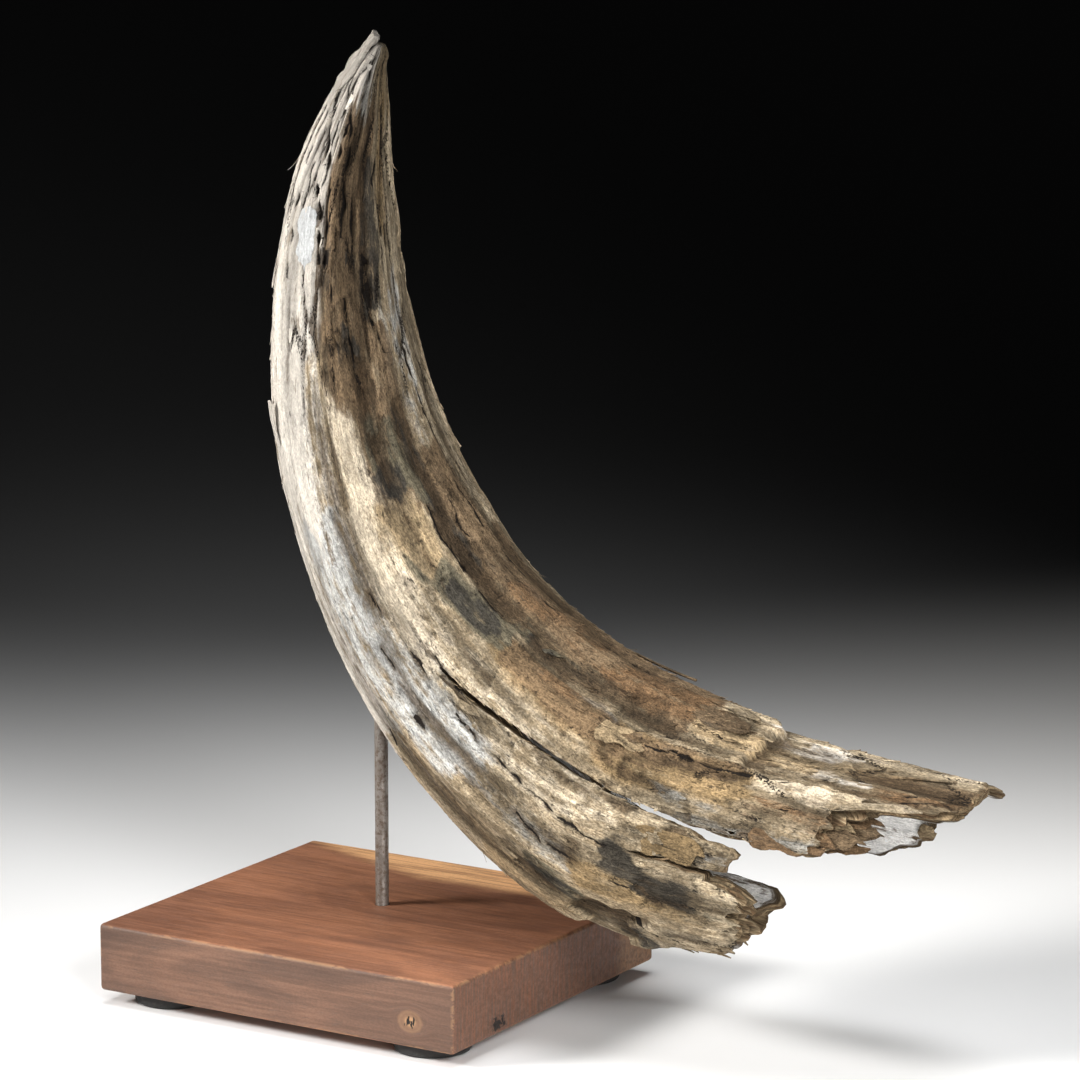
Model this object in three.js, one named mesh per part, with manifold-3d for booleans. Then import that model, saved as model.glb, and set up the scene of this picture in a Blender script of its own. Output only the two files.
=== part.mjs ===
// Fossil bison horn sheath, held by a steel rod on a walnut block with four rubber feet.
// Units are millimetres and +Z is up. X runs along the block's front edge and Y to its back.
// The horn curves in one upright plane, which stands along X through the rod.
import * as THREE from "three";
import { ParametricGeometry } from "three/addons/geometries/ParametricGeometry.js";
import { RoundedBoxGeometry } from "three/addons/geometries/RoundedBoxGeometry.js";
import { mergeVertices } from "three/addons/utils/BufferGeometryUtils.js";
import Module from "manifold-3d";

// Stand
const FOOT_HEIGHT = 5;
const FOOT_RADIUS = 14;
const FOOT_EDGE = 1.5;
const FOOT_INSET_X = 20;
const FOOT_INSET_Y = 18;
const BLOCK_LENGTH = 152;
const BLOCK_DEPTH = 138;
const BLOCK_HEIGHT = 25;
const BLOCK_EDGE = 1.5;
const ROD_RADIUS = 2.5;
const ROD_OFF_CENTRE_X = -2.5;
const ROD_OFF_CENTRE_Y = 6;
const ROD_IN_BLOCK = 16;
const ROD_TOP = 152;
const CLEARANCE = 0.3;

// Horn, from the tip to past its broken end: distance from the rod, height above the table, radius
const HORN_STATIONS = [
  [3.5, 350, 1.5],
  [-7, 325.5, 11],
  [-15, 291, 19.5],
  [-15.5, 243.5, 26],
  [-5.5, 194.5, 32],
  [21.5, 145, 38],
  [59.5, 108.5, 43],
  [108, 82.5, 46],
  [172, 72.5, 43],
  [265, 66.5, 41.5],
];
const HORN_DEPTH_SHARE = 0.95;
const STOCK_LENGTH = 472;
const STOCK_ROWS = 78;
const STOCK_COLUMNS = 44;

// Hollow of the sheath: its length along the horn and the wall that it leaves there
const HOLLOW_WALLS = [
  [200, 36],
  [225, 25],
  [260, 15],
  [320, 9],
  [400, 7.5],
  [480, 7],
];
const HOLLOW_ROWS = 26;
const HOLLOW_COLUMNS = 28;

// Lengthwise ridges: how many go round, how far each turns along the horn, how high it stands
const RIDGES = [
  { count: 7, turn: 0.011, height: 0.8 },
  { count: 11, turn: -0.02, height: 0.5 },
];

// Layers that have flaked off: stretch along the horn, degrees round from the inner curve, depth
const FLAKED = [
  { along: [365, 520], around: [-75, 36], depth: 3 },
  { along: [328, 520], around: [42, 72], depth: 1.5 },
  { along: [66, 120], around: [10, 66], depth: 1.2 },
  { along: [120, 142], around: [18, 45], depth: 1.2 },
  { along: [366, 410], around: [73, 92], depth: 2 },
  { along: [328, 356], around: [126, 165], depth: 2.5 },
];
const FLAKE_STEP = 5;

// Side view of what has broken away from the front wall: distance from the rod, height.
// A long split leads to the mouth, between an upper, a middle and a lower finger.
const FRONT_LOSS = [
  [45, 134],
  [66, 123],
  [83, 115],
  [100, 108],
  [117, 101],
  [135, 96],
  [149, 93],
  [159, 89.5],
  [176, 86],
  [193, 85],
  [198, 95],
  [202, 101],
  [214, 104],
  [236, 102.5],
  [244, 105],
  [247, 125],
  [285, 125],
  [285, 8],
  [110, 8],
  [110, 33],
  [120, 37],
  [132, 40],
  [165, 44],
  [168, 53],
  [165, 59],
  [172, 66],
  [154, 72],
  [140, 76],
  [119, 79],
  [140, 78],
  [154, 75],
  [160, 75],
  [167, 79.5],
  [168, 84],
  [154, 86],
  [149, 89],
  [127, 95],
  [108, 101],
  [84, 112],
  [61, 123],
];

// The same for the back wall, which is split lower down.
const BACK_LOSS = [
  [66, 80],
  [81, 76.5],
  [105, 71],
  [122, 68],
  [162, 65],
  [186, 67],
  [195, 69.5],
  [209, 80],
  [206, 87],
  [214, 96],
  [226, 102],
  [238, 106],
  [247, 125],
  [285, 125],
  [285, 8],
  [143, 8],
  [143, 35],
  [149, 44],
  [147, 46],
  [126, 49],
  [114, 51],
  [104, 57],
  [92, 66],
  [80, 73],
];
const LOSS_DEPTH = 70;

// Cleft that parts the tip into two points
const TIP_CLEFT = [
  [9, 365],
  [1.5, 342],
  [-7, 330],
  [0, 342],
  [6, 365],
];

const wasm = await Module();
wasm.setup();

// A closed geometry as a solid that can be joined and cut
function solidFrom(geometry) {
  const bare = new THREE.BufferGeometry();
  bare.setAttribute("position", geometry.getAttribute("position"));
  bare.setIndex(geometry.index);
  const merged = mergeVertices(bare, 1e-3);
  const mesh = new wasm.Mesh({
    numProp: 3,
    vertProperties: merged.attributes.position.array,
    triVerts: new Uint32Array(merged.index.array),
  });
  return new wasm.Manifold(mesh);
}

function geometryFrom(solid) {
  const mesh = solid.getMesh();
  const geometry = new THREE.BufferGeometry();
  geometry.setAttribute("position", new THREE.BufferAttribute(mesh.vertProperties, 3));
  geometry.setIndex(new THREE.BufferAttribute(mesh.triVerts, 1));
  geometry.computeVertexNormals();
  return geometry;
}

function named(name, geometry, material) {
  const mesh = new THREE.Mesh(geometry, new THREE.MeshStandardMaterial(material));
  mesh.name = name;
  return mesh;
}

// An upright round bar from one height to another, on the rod's axis
function uprightBar(radius, bottom, top) {
  const bar = new THREE.CylinderGeometry(radius, radius, top - bottom, 24);
  return bar.rotateX(Math.PI / 2).translate(0, 0, (bottom + top) / 2);
}

// A side-view outline as a prism across Y
function crossPrism(outline, yFrom, yTo) {
  const shape = new THREE.Shape(outline.map(([x, z]) => new THREE.Vector2(x, z)));
  const prism = new THREE.ExtrudeGeometry(shape, { depth: yTo - yFrom, bevelEnabled: false });
  return prism.rotateX(Math.PI / 2).translate(0, yTo, 0);
}

// The horn's centreline and its radius along it
const axis = new THREE.CatmullRomCurve3(
  HORN_STATIONS.map(([x, z]) => new THREE.Vector3(x, 0, z)),
  false,
  "catmullrom",
);
const girth = new THREE.CatmullRomCurve3(
  HORN_STATIONS.map(([, , radius]) => new THREE.Vector3(radius, 0, 0)),
  false,
  "catmullrom",
);
const axisLength = axis.getLength();

// A point near the horn's surface, by length from the tip and angle from the inner curve to the front
function hornPoint(along, angle, inset, target) {
  const share = axis.getUtoTmapping(along / axisLength);
  const centre = axis.getPoint(share);
  const forward = axis.getTangent(share);
  const inward = new THREE.Vector3(-forward.z, 0, forward.x);
  const radius = Math.max(girth.getPoint(share).x - inset, 0);
  target.copy(centre).addScaledVector(inward, radius * Math.cos(angle));
  target.y -= HORN_DEPTH_SHARE * radius * Math.sin(angle);
  return target;
}

// 1 well inside a stretch, 0 well outside it
function within(value, [from, to], step) {
  const rise = THREE.MathUtils.smoothstep(value, from - step / 2, from + step / 2);
  const fall = THREE.MathUtils.smoothstep(value, to - step / 2, to + step / 2);
  return rise * (1 - fall);
}

// How far the weathered surface lies under the smooth horn
function weathering(along, angle) {
  const grown = THREE.MathUtils.smoothstep(along, 0, 120);
  const degrees = THREE.MathUtils.euclideanModulo(THREE.MathUtils.radToDeg(angle) + 120, 360) - 120;
  let inset = 0;
  for (const { count, turn, height } of RIDGES) {
    inset += grown * height * Math.cos(count * angle + turn * along);
  }
  for (const { along: stretch, around, depth } of FLAKED) {
    inset += depth * within(along, stretch, FLAKE_STEP) * within(degrees, around, FLAKE_STEP);
  }
  return inset;
}

function wallAt(along) {
  const next = HOLLOW_WALLS.findIndex(([place]) => place >= along);
  const [toPlace, toWall] = HOLLOW_WALLS[next];
  const [fromPlace, fromWall] = HOLLOW_WALLS[Math.max(next - 1, 0)];
  return THREE.MathUtils.mapLinear(along, fromPlace, toPlace + 1e-6, fromWall, toWall);
}

// A closed spindle along the horn: rings between two poles
function spindle(from, to, rows, columns, insetAt) {
  const place = (u, v, target) => {
    const row = Math.round(v * rows);
    const ring = THREE.MathUtils.clamp((row - 1) / (rows - 2), 0, 1);
    const along = THREE.MathUtils.lerp(from, to, ring);
    const angle = 2 * Math.PI * u;
    const pole = row === 0 || row === rows;
    hornPoint(along, angle, pole ? Infinity : insetAt(along, angle), target);
  };
  return new ParametricGeometry(place, columns, rows);
}

function hornSheath() {
  const [hollowStart] = HOLLOW_WALLS[0];
  const [hollowEnd] = HOLLOW_WALLS.at(-1);
  const stock = solidFrom(spindle(0, STOCK_LENGTH, STOCK_ROWS, STOCK_COLUMNS, weathering));
  const hollow = spindle(hollowStart, hollowEnd, HOLLOW_ROWS, HOLLOW_COLUMNS, wallAt);
  const losses = [
    hollow,
    crossPrism(FRONT_LOSS, -LOSS_DEPTH, 0),
    crossPrism(BACK_LOSS, 0, LOSS_DEPTH),
    crossPrism(TIP_CLEFT, -LOSS_DEPTH, LOSS_DEPTH),
    uprightBar(ROD_RADIUS + CLEARANCE, FOOT_HEIGHT, ROD_TOP + CLEARANCE),
  ];
  const sheath = losses.reduce((solid, loss) => solid.subtract(solidFrom(loss)), stock);
  return named("horn_sheath", geometryFrom(sheath), { color: 0x9a8468, roughness: 0.85 });
}

function supportRod() {
  const bottom = FOOT_HEIGHT + BLOCK_HEIGHT - ROD_IN_BLOCK;
  const material = { color: 0x6b645b, roughness: 0.55, metalness: 0.9 };
  return named("support_rod", uprightBar(ROD_RADIUS, bottom, ROD_TOP), material);
}

function baseBlock() {
  const plank = new RoundedBoxGeometry(BLOCK_LENGTH, BLOCK_DEPTH, BLOCK_HEIGHT, 2, BLOCK_EDGE);
  plank.translate(-ROD_OFF_CENTRE_X, -ROD_OFF_CENTRE_Y, FOOT_HEIGHT + BLOCK_HEIGHT / 2);
  const top = FOOT_HEIGHT + BLOCK_HEIGHT;
  const bore = uprightBar(ROD_RADIUS + CLEARANCE, top - ROD_IN_BLOCK - CLEARANCE, top + BLOCK_HEIGHT);
  const block = solidFrom(plank).subtract(solidFrom(bore));
  return named("base_block", geometryFrom(block), { color: 0x6a4028, roughness: 0.55 });
}

function feet() {
  const top = FOOT_HEIGHT - CLEARANCE;
  const profile = new THREE.Path()
    .moveTo(0, 0)
    .lineTo(FOOT_RADIUS - FOOT_EDGE, 0)
    .quadraticCurveTo(FOOT_RADIUS, 0, FOOT_RADIUS, FOOT_EDGE)
    .lineTo(FOOT_RADIUS, top)
    .lineTo(0, top);
  const group = new THREE.Group();
  for (const [depthName, depthSide] of [["front", -1], ["back", 1]]) {
    for (const [lengthName, lengthSide] of [["left", -1], ["right", 1]]) {
      const disc = new THREE.LatheGeometry(profile.getPoints(4), 28).rotateX(Math.PI / 2);
      const foot = named(`foot_${depthName}_${lengthName}`, disc, { color: 0x1a1917, roughness: 0.9 });
      foot.position.x = lengthSide * (BLOCK_LENGTH / 2 - FOOT_INSET_X) - ROD_OFF_CENTRE_X;
      foot.position.y = depthSide * (BLOCK_DEPTH / 2 - FOOT_INSET_Y) - ROD_OFF_CENTRE_Y;
      group.add(foot);
    }
  }
  return group;
}

// The whole object, moved so that the middle of its footprint box is the origin
const specimen = new THREE.Group();
specimen.add(hornSheath(), supportRod(), baseBlock(), feet());
const extent = new THREE.Box3().setFromObject(specimen, true).getCenter(new THREE.Vector3());
specimen.position.set(-extent.x, -extent.y, 0);
const part = new THREE.Group();
part.add(specimen);

export default part;
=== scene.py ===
"""Fossil bison horn sheath on a steel rod and a walnut block: the looks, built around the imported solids."""

import math

import bmesh
import bpy
import numpy as np
from mathutils import Euler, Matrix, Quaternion, Vector


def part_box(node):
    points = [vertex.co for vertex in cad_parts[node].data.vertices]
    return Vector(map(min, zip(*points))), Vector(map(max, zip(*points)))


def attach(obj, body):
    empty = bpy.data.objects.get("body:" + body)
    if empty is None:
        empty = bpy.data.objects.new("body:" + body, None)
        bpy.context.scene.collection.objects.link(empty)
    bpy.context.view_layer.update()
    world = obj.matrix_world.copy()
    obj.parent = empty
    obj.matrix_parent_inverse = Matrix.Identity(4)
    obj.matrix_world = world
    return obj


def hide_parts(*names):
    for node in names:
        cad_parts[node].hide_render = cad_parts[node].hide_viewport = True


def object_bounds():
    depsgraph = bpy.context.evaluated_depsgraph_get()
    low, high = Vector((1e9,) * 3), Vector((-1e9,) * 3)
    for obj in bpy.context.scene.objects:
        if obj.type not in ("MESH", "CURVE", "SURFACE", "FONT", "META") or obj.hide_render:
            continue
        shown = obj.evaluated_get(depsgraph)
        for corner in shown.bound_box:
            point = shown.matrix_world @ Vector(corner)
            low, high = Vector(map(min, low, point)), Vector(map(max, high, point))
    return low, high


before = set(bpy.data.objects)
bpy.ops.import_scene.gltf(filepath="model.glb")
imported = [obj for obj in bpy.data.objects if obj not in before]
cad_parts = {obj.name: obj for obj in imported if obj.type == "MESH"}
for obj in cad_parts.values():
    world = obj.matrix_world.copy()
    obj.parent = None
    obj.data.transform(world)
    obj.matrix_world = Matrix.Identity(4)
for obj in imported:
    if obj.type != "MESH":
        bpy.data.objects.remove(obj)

bl_info = {
    "name": "Fossil Horn Sheath",
    "version": (1, 0, 0),
    "blender": (4, 5, 0),
    "location": "View3D > Sidebar > Specimen",
    "description": "Builds a weathered horn sheath on its display stand",
    "category": "Add Mesh",
}

CAD_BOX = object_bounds()
MM = 0.001

# A usual radius of the horn in millimetres, on which its patterns are laid out
GIRTH = 40

# Layers that show in the broken wall
RIM_LAYERS = 5

# Values that hold the offset from a near crack and its half width. A point can lie near more than one.
CRACK_NAMES = ("crack_0", "crack_1", "crack_2")

# The distance in millimetres that stands for no ledge or crack near by
FAR_AWAY = 9.0

# Steps and size of the tables that noise is drawn from
NOISE_STEPS = (73856093, 19349663, 83492791)
NOISE_VALUES = 4096

ROD_LOW, ROD_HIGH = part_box("support_rod")
ROD_X = (ROD_LOW.x + ROD_HIGH.x) / 2
ROD_Y = (ROD_LOW.y + ROD_HIGH.y) / 2
FEET = ("foot_front_left", "foot_front_right", "foot_back_left", "foot_back_right")

# The horn's shape, in millimetres. The stations, the hollow's walls and the ridges repeat the
# part's own named values. The flaked layers and the broken outlines are drawn finer than the part's.
# Stations from the tip to past the broken end: distance from the rod, height, radius
HORN_STATIONS = (
    (3.5, 350, 1.5),
    (-7, 325.5, 11),
    (-15, 291, 19.5),
    (-15.5, 243.5, 26),
    (-5.5, 194.5, 32),
    (21.5, 145, 38),
    (59.5, 108.5, 43),
    (108, 82.5, 46),
    (172, 72.5, 43),
    (265, 66.5, 41.5),
)
HORN_DEPTH_SHARE = 0.95
TIP_LOSS = 4.5
STOCK_LENGTH = 472

# Nothing has broken away before this length along the horn
BREAK_START = 225
UNBROKEN = 50.0

# Length along the horn, and the wall that the hollow leaves there
HOLLOW_WALLS = ((200, 36), (225, 25), (260, 15), (320, 9), (400, 7.5), (480, 7))

# Lengthwise ridges: how many go round, how far each turns along the horn, how high it stands
RIDGES = ((7, 0.011, 0.8), (11, -0.02, 0.5))

# Layers that have flaked off: stretch along the horn, degrees round from the inner curve, depth
FLAKED = (
    ((365, 520), (-75, 36), 3.0),
    ((328, 520), (42, 72), 1.5),
    ((366, 410), (73, 92), 2.0),
    ((328, 356), (126, 165), 2.5),
)

# Places whose surface lies lower, or higher where less than 0: depth, then a patch of the surface.
# A patch has a start and an end along the horn, the degrees round at both, and half its width in degrees.
LEDGES = (
    (0.9, (30, 112, 45, 46, 18)),
    (1.3, (111, 148, 60, 52, 17)),
    (1.2, (80, 110, 74, 72, 5)),
    (-0.9, (84, 112, 64, 60, 3)),
    (-0.8, (96, 117, 49, 47, 4)),
    (0.9, (146, 182, 40, 38, 12)),
    (0.9, (248, 284, 77, 79, 3)),
    (1.1, (322, 366, 50, 52, 9)),
    (0.8, (300, 330, 118, 124, 10)),
    (0.9, (352, 388, 104, 110, 8)),
)

# Broad valleys: depth, then a patch
VALLEYS = (
    (2.0, (136, 250, 25, 24, 7)),
    (1.4, (40, 110, 30, 28, 9)),
    (1.2, (60, 120, 84, 82, 8)),
    (1.2, (220, 330, 96, 100, 9)),
    (1.0, (260, 380, 26, 28, 8)),
)

# Widths and lengths of the long strips and of the broad flakes
STRIP_SIZE = (13, 50)
FLAKE_SIZE = (15, 24)

# Where the weathering sets in, from none to all of it: millimetres from the tip
RIDGES_ALONG = (0, 120)
ROUGH_ALONG = (2, 8)
STRIPS_TO_TIP = (165, 100)
STRIPS_ROUND_TIP = (95, 60)
STRIPS_TO_BREAK = (325, 370)
FLAKES_ALONG = (110, 180)
WORN_ALONG = (190, 330)
FRAYED_PAST_TIP = (4, 14)
FRAYED_BEFORE_END = (432, 412)
HOLLOW_ROUGH_ALONG = (215, 260)
MOUTH_ALONG = (330, 385)

# The same in degrees round from the inner curve
STRIPS_ON_FRONT = (118, 92)
STRIPS_ON_BACK = (-40, -70)
FLAKES_ON_FRONT = (115, 60)
WORN_ON_FRONT = (120, 70)
WORN_ON_TOP = (-60, -20)
BACK_FROM_BELOW = (150, 185)
BACK_FROM_ABOVE = (-45, -75)

# The same in millimetres from the rod and from the broken edge
MOUTH_FROM_ROD = (125, 185)
LINING_FROM_EDGE = (30, 16)

# Side views of what has broken away from the front and the back wall: distance from the rod, height
FRONT_LOSS = (
    (45, 134), (66, 122.5), (83, 114), (100, 106.5), (117, 99.5), (135, 94), (149, 90.5), (159, 88.5),
    (176, 86), (193, 85), (198, 95), (202, 101), (214, 104), (236, 102.5), (244, 105), (247, 125),
    (285, 125), (285, 8), (110, 8), (110, 33), (120, 37), (132, 40), (165, 44), (168, 53),
    (165, 59), (172, 66), (154, 72), (140, 76), (119, 79), (140, 78), (154, 75), (160, 75),
    (167, 79.5), (168, 84), (154, 86), (149, 88.5), (127, 94.5), (108, 101), (84, 111.5), (61, 123),
)
BACK_LOSS = (
    (66, 80), (81, 76.5), (105, 71), (122, 68), (162, 65), (186, 67), (195, 70.5), (205, 78),
    (204, 87), (214, 96), (226, 102), (238, 106), (247, 125), (285, 125), (285, 8), (143, 8),
    (143, 35), (149, 44), (147, 46), (126, 49), (114, 51), (104, 57), (92, 66), (80, 73),
)

# Cracks on the front: half width, depth, start and end along the horn, degrees round at both
CRACKS = (
    (0.9, 2.6, 1, 24, 95, 124),
    (0.35, 1.2, 7, 34, 78, 84),
    (0.2, 1.0, 12, 46, 104, 108),
    (0.3, 1.0, 5, 26, 52, 62),
    (0.2, 1.0, 28, 66, 98, 100),
    (0.4, 1.3, 26, 58, 70, 68),
    (0.6, 1.6, 24, 52, 122, 116),
    (0.6, 1.6, 30, 62, 84, 82),
    (0.7, 1.6, 40, 76, 60, 56),
    (0.9, 1.8, 78, 104, 32, 28),
    (0.6, 1.4, 62, 88, 84, 80),
    (0.6, 1.4, 96, 122, 55, 50),
    (0.6, 1.2, 26, 48, 9, -4),
    (0.5, 1.2, 70, 96, 14, 12),
    (0.5, 1.2, 60, 92, 118, 112),
    (0.3, 1.0, 17, 28, 93, 92),
    (0.3, 1.0, 17, 27, 80, 78),
    (0.35, 1.2, 22, 34, 112, 110),
    (0.5, 1.6, 34, 50, 98, 93),
    (0.9, 2.2, 50, 62, 93, 91),
    (0.35, 1.2, 44, 66, 106, 102),
    (0.35, 1.0, 60, 76, 107, 104),
    (0.45, 1.6, 54, 82, 75, 70),
    (1.1, 1.8, 79, 94, 72, 76),
    (0.5, 1.5, 88, 106, 66, 66),
    (0.5, 1.5, 25, 42, 72, 60),
    (0.5, 1.4, 58, 78, 45, 42),
    (0.45, 1.2, 18, 38, 8, 4),
    (0.6, 1.2, 44, 58, 20, 20),
    (0.35, 0.9, 68, 80, 5, 5),
    (0.6, 1.6, 86, 120, 36, 25),
    (0.8, 2.0, 116, 182, 4, -3),
    (0.7, 1.6, 176, 204, 2, 3),
    (0.4, 1.2, 174, 206, -6, -12),
    (0.35, 0.7, 136, 150, 108, 104),
    (0.35, 0.7, 137, 146, 104, 101),
    (0.7, 1.8, 184, 242, 31, 31),
    (0.4, 1.0, 184, 206, 16, 17),
    (0.35, 0.7, 212, 228, 43, 52),
    (0.35, 0.9, 205, 224, 87, 83),
    (0.55, 1.0, 231, 247, 81, 82),
    (0.35, 0.7, 224, 236, 97, 96),
    (0.45, 1.0, 258, 288, 83, 86),
    (0.5, 1.2, 240, 265, 71, 75),
    (1.1, 1.2, 250, 257, 101, 101),
    (0.8, 1.0, 243, 250, 132, 137),
    (0.5, 1.2, 280, 346, 83, 91),
    (0.5, 1.1, 300, 314, 100, 105),
    (0.45, 1.0, 326, 354, 37, 28),
    (0.7, 1.6, 330, 418, 43, 35),
    (0.6, 1.4, 335, 356, 121, 136),
    (0.4, 0.8, 315, 326, 103, 105),
    (0.4, 0.8, 338, 350, 104, 107),
    (0.5, 1.2, 428, 452, 36, 26),
    (0.5, 1.0, 436, 456, 28, 12),
    (0.4, 0.8, 386, 396, 63, 66),
    (0.35, 0.7, 205, 238, 0, -2),
    (0.35, 0.7, 221, 260, 8, 3),
    (0.35, 0.7, 279, 314, -2, -2),
)

# How many cracks are drawn at random on the back
BACK_CRACKS = 46

# Tones of the front, as strengths and patches. Later tones lie over earlier ones.
TONES = {
    "ivory": (
        (1.0, (-20, 120, 120, 132, 56)), (1.0, (110, 190, 139, 149, 50)), (0.8, (180, 250, 152, 165, 44)),
        (0.9, (-20, 32, 85, 80, 42)), (0.8, (378, 404, 1, 4, 5)), (0.9, (255, 266, 84, 86, 3)),
        (0.9, (397, 414, 23, 26, 4)), (0.45, (112, 178, 90, 86, 8)),
    ),
    "cream": (
        (1.0, (138, 180, 68, 62, 9)), (0.9, (175, 245, 71, 72, 11)), (0.6, (240, 330, 68, 70, 7)),
        (0.4, (215, 300, 54, 58, 6)), (0.6, (268, 300, 35, 38, 4)),
        (0.65, (392, 416, 40, 46, 9)), (0.45, (280, 335, 79, 83, 6)), (0.5, (240, 290, 112, 118, 10)),
    ),
    "tan": (
        (1.0, (244, 322, 43, 46, 9)), (1.0, (315, 388, 46, 48, 13)), (0.8, (20, 75, 8, 10, 10)),
        (0.6, (350, 385, 18, 20, 10)), (0.8, (320, 372, 108, 112, 12)), (0.6, (300, 330, 60, 62, 5)),
        (0.6, (262, 300, 103, 106, 7)),
    ),
    "grey": (
        (0.8, (174, 240, 103, 98, 18)), (0.8, (236, 270, 104, 104, 8)), (0.75, (235, 285, 94, 92, 12)),
        (0.5, (90, 140, 2, 8, 12)), (0.8, (236, 254, 6, 4, 5)), (0.5, (374, 388, 84, 86, 6)),
    ),
    "slate": (
        (0.7, (264, 300, 95, 98, 7)), (0.6, (225, 262, 84, 80, 5)), (0.7, (14, 32, 52, 46, 12)),
        (0.7, (295, 325, 100, 104, 7)), (0.9, (312, 324, 22, 24, 4)), (0.9, (347, 361, 57, 59, 5)),
        (0.8, (303, 316, 34, 37, 4)), (0.7, (240, 262, 118, 126, 8)), (0.7, (358, 412, 66, 68, 6)),
        (0.5, (95, 165, 16, 12, 9)), (0.7, (358, 372, 80, 83, 6)),
    ),
    "ochre": (
        (0.9, (180, 208, 48, 44, 12)), (1.0, (1, 26, 10, 4, 26)), (0.8, (350, 400, 16, 18, 9)),
        (0.7, (285, 330, 135, 138, 10)), (0.7, (400, 440, 12, 12, 9)), (0.6, (250, 300, 118, 126, 8)),
    ),
    "brown": (
        (1.0, (28, 118, 48, 54, 27)), (1.0, (105, 146, 60, 52, 23)), (1.0, (140, 184, 42, 38, 15)),
        (0.8, (115, 170, 26, 26, 12)), (1.0, (165, 215, 12, 10, 18)), (1.0, (205, 352, 4, 4, 26)),
        (0.8, (322, 345, 128, 134, 9)), (0.8, (316, 356, 46, 44, 8)), (0.9, (412, 470, 22, 18, 14)),
        (0.7, (262, 310, 30, 33, 6)), (1.0, (256, 330, 42, 46, 8)), (0.6, (335, 380, 42, 40, 9)),
    ),
    "rust": (
        (0.9, (296, 354, 12, 8, 12)), (0.6, (235, 290, 10, 5, 12)), (0.8, (386, 414, 54, 54, 7)),
        (0.7, (420, 462, 30, 25, 8)), (0.6, (282, 300, 42, 40, 3)), (0.6, (124, 146, 50, 44, 9)),
    ),
    "olive": (
        (0.9, (203, 258, 46, 36, 11)), (0.9, (256, 284, 24, 26, 6)), (0.6, (284, 330, 22, 28, 6)),
        (0.9, (302, 326, 119, 128, 9)), (0.4, (370, 390, 106, 116, 7)), (0.8, (142, 182, 42, 38, 12)),
    ),
    "charcoal": (
        # The narrow charcoal patch from 138 to 216 along the horn lies on the floor of the deepest valley:
        # mineral stain and painted shade
        (1.0, (162, 181, 47, 44, 8)), (0.9, (138, 216, 26, 24, 4)), (0.9, (45, 104, 28, 30, 9)),
        (0.9, (78, 98, 74, 72, 3)), (0.8, (110, 126, 54, 52, 11)), (1.0, (336, 358, 91, 97, 7)),
        (1.0, (353, 374, 98, 106, 7)), (0.9, (338, 358, 138, 146, 8)),
        (1.0, (342, 370, 94, 103, 4)), (0.8, (262, 279, 25, 26, 4)),
        (0.9, (216, 246, 45, 35, 7)), (0.8, (75, 85, 48, 46, 10)), (0.8, (304, 324, 122, 128, 7)),
    ),
    # Only a plate and the inner wall wear chalk
    "chalk": (),
}

# Tones of the back, each with the noise above which it shows
BACK_TONES = {"brown": 0.15, "grey": 0.1, "ochre": 0.2, "charcoal": 0.45}

# Half the width in millimetres over which a patch fades at its edge
CRISP_TONES = ("charcoal", "olive")
CRISP_EDGE = 2.5
SOFT_EDGE = 5

# Slivers that lift off the surface: half width, thickness, then length, degrees round and lift
SLIVERS = (
    (1.8, 1.0, ((278, -24, -1.0), (292, -23, 0.8), (308, -22, 1.9), (326, -20, 2.7))),
    (3.4, 1.3, ((338, -8, -1.0), (350, -5, 0.4), (361, -1, 1.4), (371, 3, 1.6))),
    (1.5, 0.8, ((72, 134, -0.6), (84, 135, 0.5), (95, 136, 1.7))),
    (1.6, 0.9, ((132, 124, 2.4), (140, 125, 1.4), (152, 126, -0.7))),
    (1.1, 0.8, ((268, 27, 0.2), (272, 26, 1.4), (277, 23, 0.5))),
    (1.6, 0.8, ((240, 80, -0.6), (252, 79, 0.6), (262, 77, 0.9), (270, 75, -0.2))),
    (1.2, 0.7, ((300, 70, -0.4), (312, 69, 0.7), (326, 69, -0.4))),
    (1.4, 0.8, ((412, 46, -0.6), (426, 42, 0.8), (440, 40, 1.2), (449, 39, 0.6))),
    (1.5, 0.9, ((424, 8, -0.6), (438, 6, 0.6), (450, 4, 1.0))),
    (2.0, 0.9, ((316, 50, -0.2), (322, 46, 1.4), (330, 42, 1.6), (338, 38, 0.9), (350, 33, -0.4))),
)

# A sliver's cross-section: shares of its half width and of its thickness
SLIVER_SECTION = ((-1, 0), (-0.45, 0.5), (0.45, 0.45), (1, 0.05), (0.5, -0.5), (-0.5, -0.5))

# Plates of horn that have come loose: lift at the start and the end, thickness, own tone if any, patch
PLATES = (
    (1.7, -0.6, 3.2, "", (0.8, 36, 138, 170, 50)),
    (0.4, 0.4, 0.9, "chalk", (65, 86, 97, 94, 11)),
    (-3.0, -4.5, 2.4, "rust", (388, 418, 67, 64, 6)),
    (-4.5, -6.5, 2.6, "brown", (390, 429, 61, 57, 6)),
    (-4.0, -6.5, 2.2, "ochre", (392, 421, 55, 52, 5)),
    (-7.0, -9.0, 2.6, "brown", (394, 433, 52, 48, 6)),
    (-9.0, -10.5, 2.4, "rust", (394, 426, 60, 57, 7)),
    (-6.0, -8.0, 2.2, "rust", (394, 429, 46, 43, 5)),
    (-7.5, -8.5, 2.4, "rim", (420, 427, 284, 286, 4)),
    (3.4, -0.4, 1.2, "ochre", (315, 338, 47, 40, 5)),
    (-0.3, 1.6, 1.1, "tan", (346, 371, 81, 83, 6)),
    (-0.4, 1.2, 1.0, "", (348, 373, 96, 97, 5)),
    (-0.3, 1.4, 0.9, "brown", (340, 372, 8, 12, 7)),
    (-0.3, 1.0, 0.8, "", (236, 262, 86, 83, 4)),
    (-0.3, 0.9, 0.8, "", (90, 113, 62, 60, 4)),
    (-0.3, 1.0, 0.8, "", (96, 118, 48, 47, 5)),
)

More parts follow.
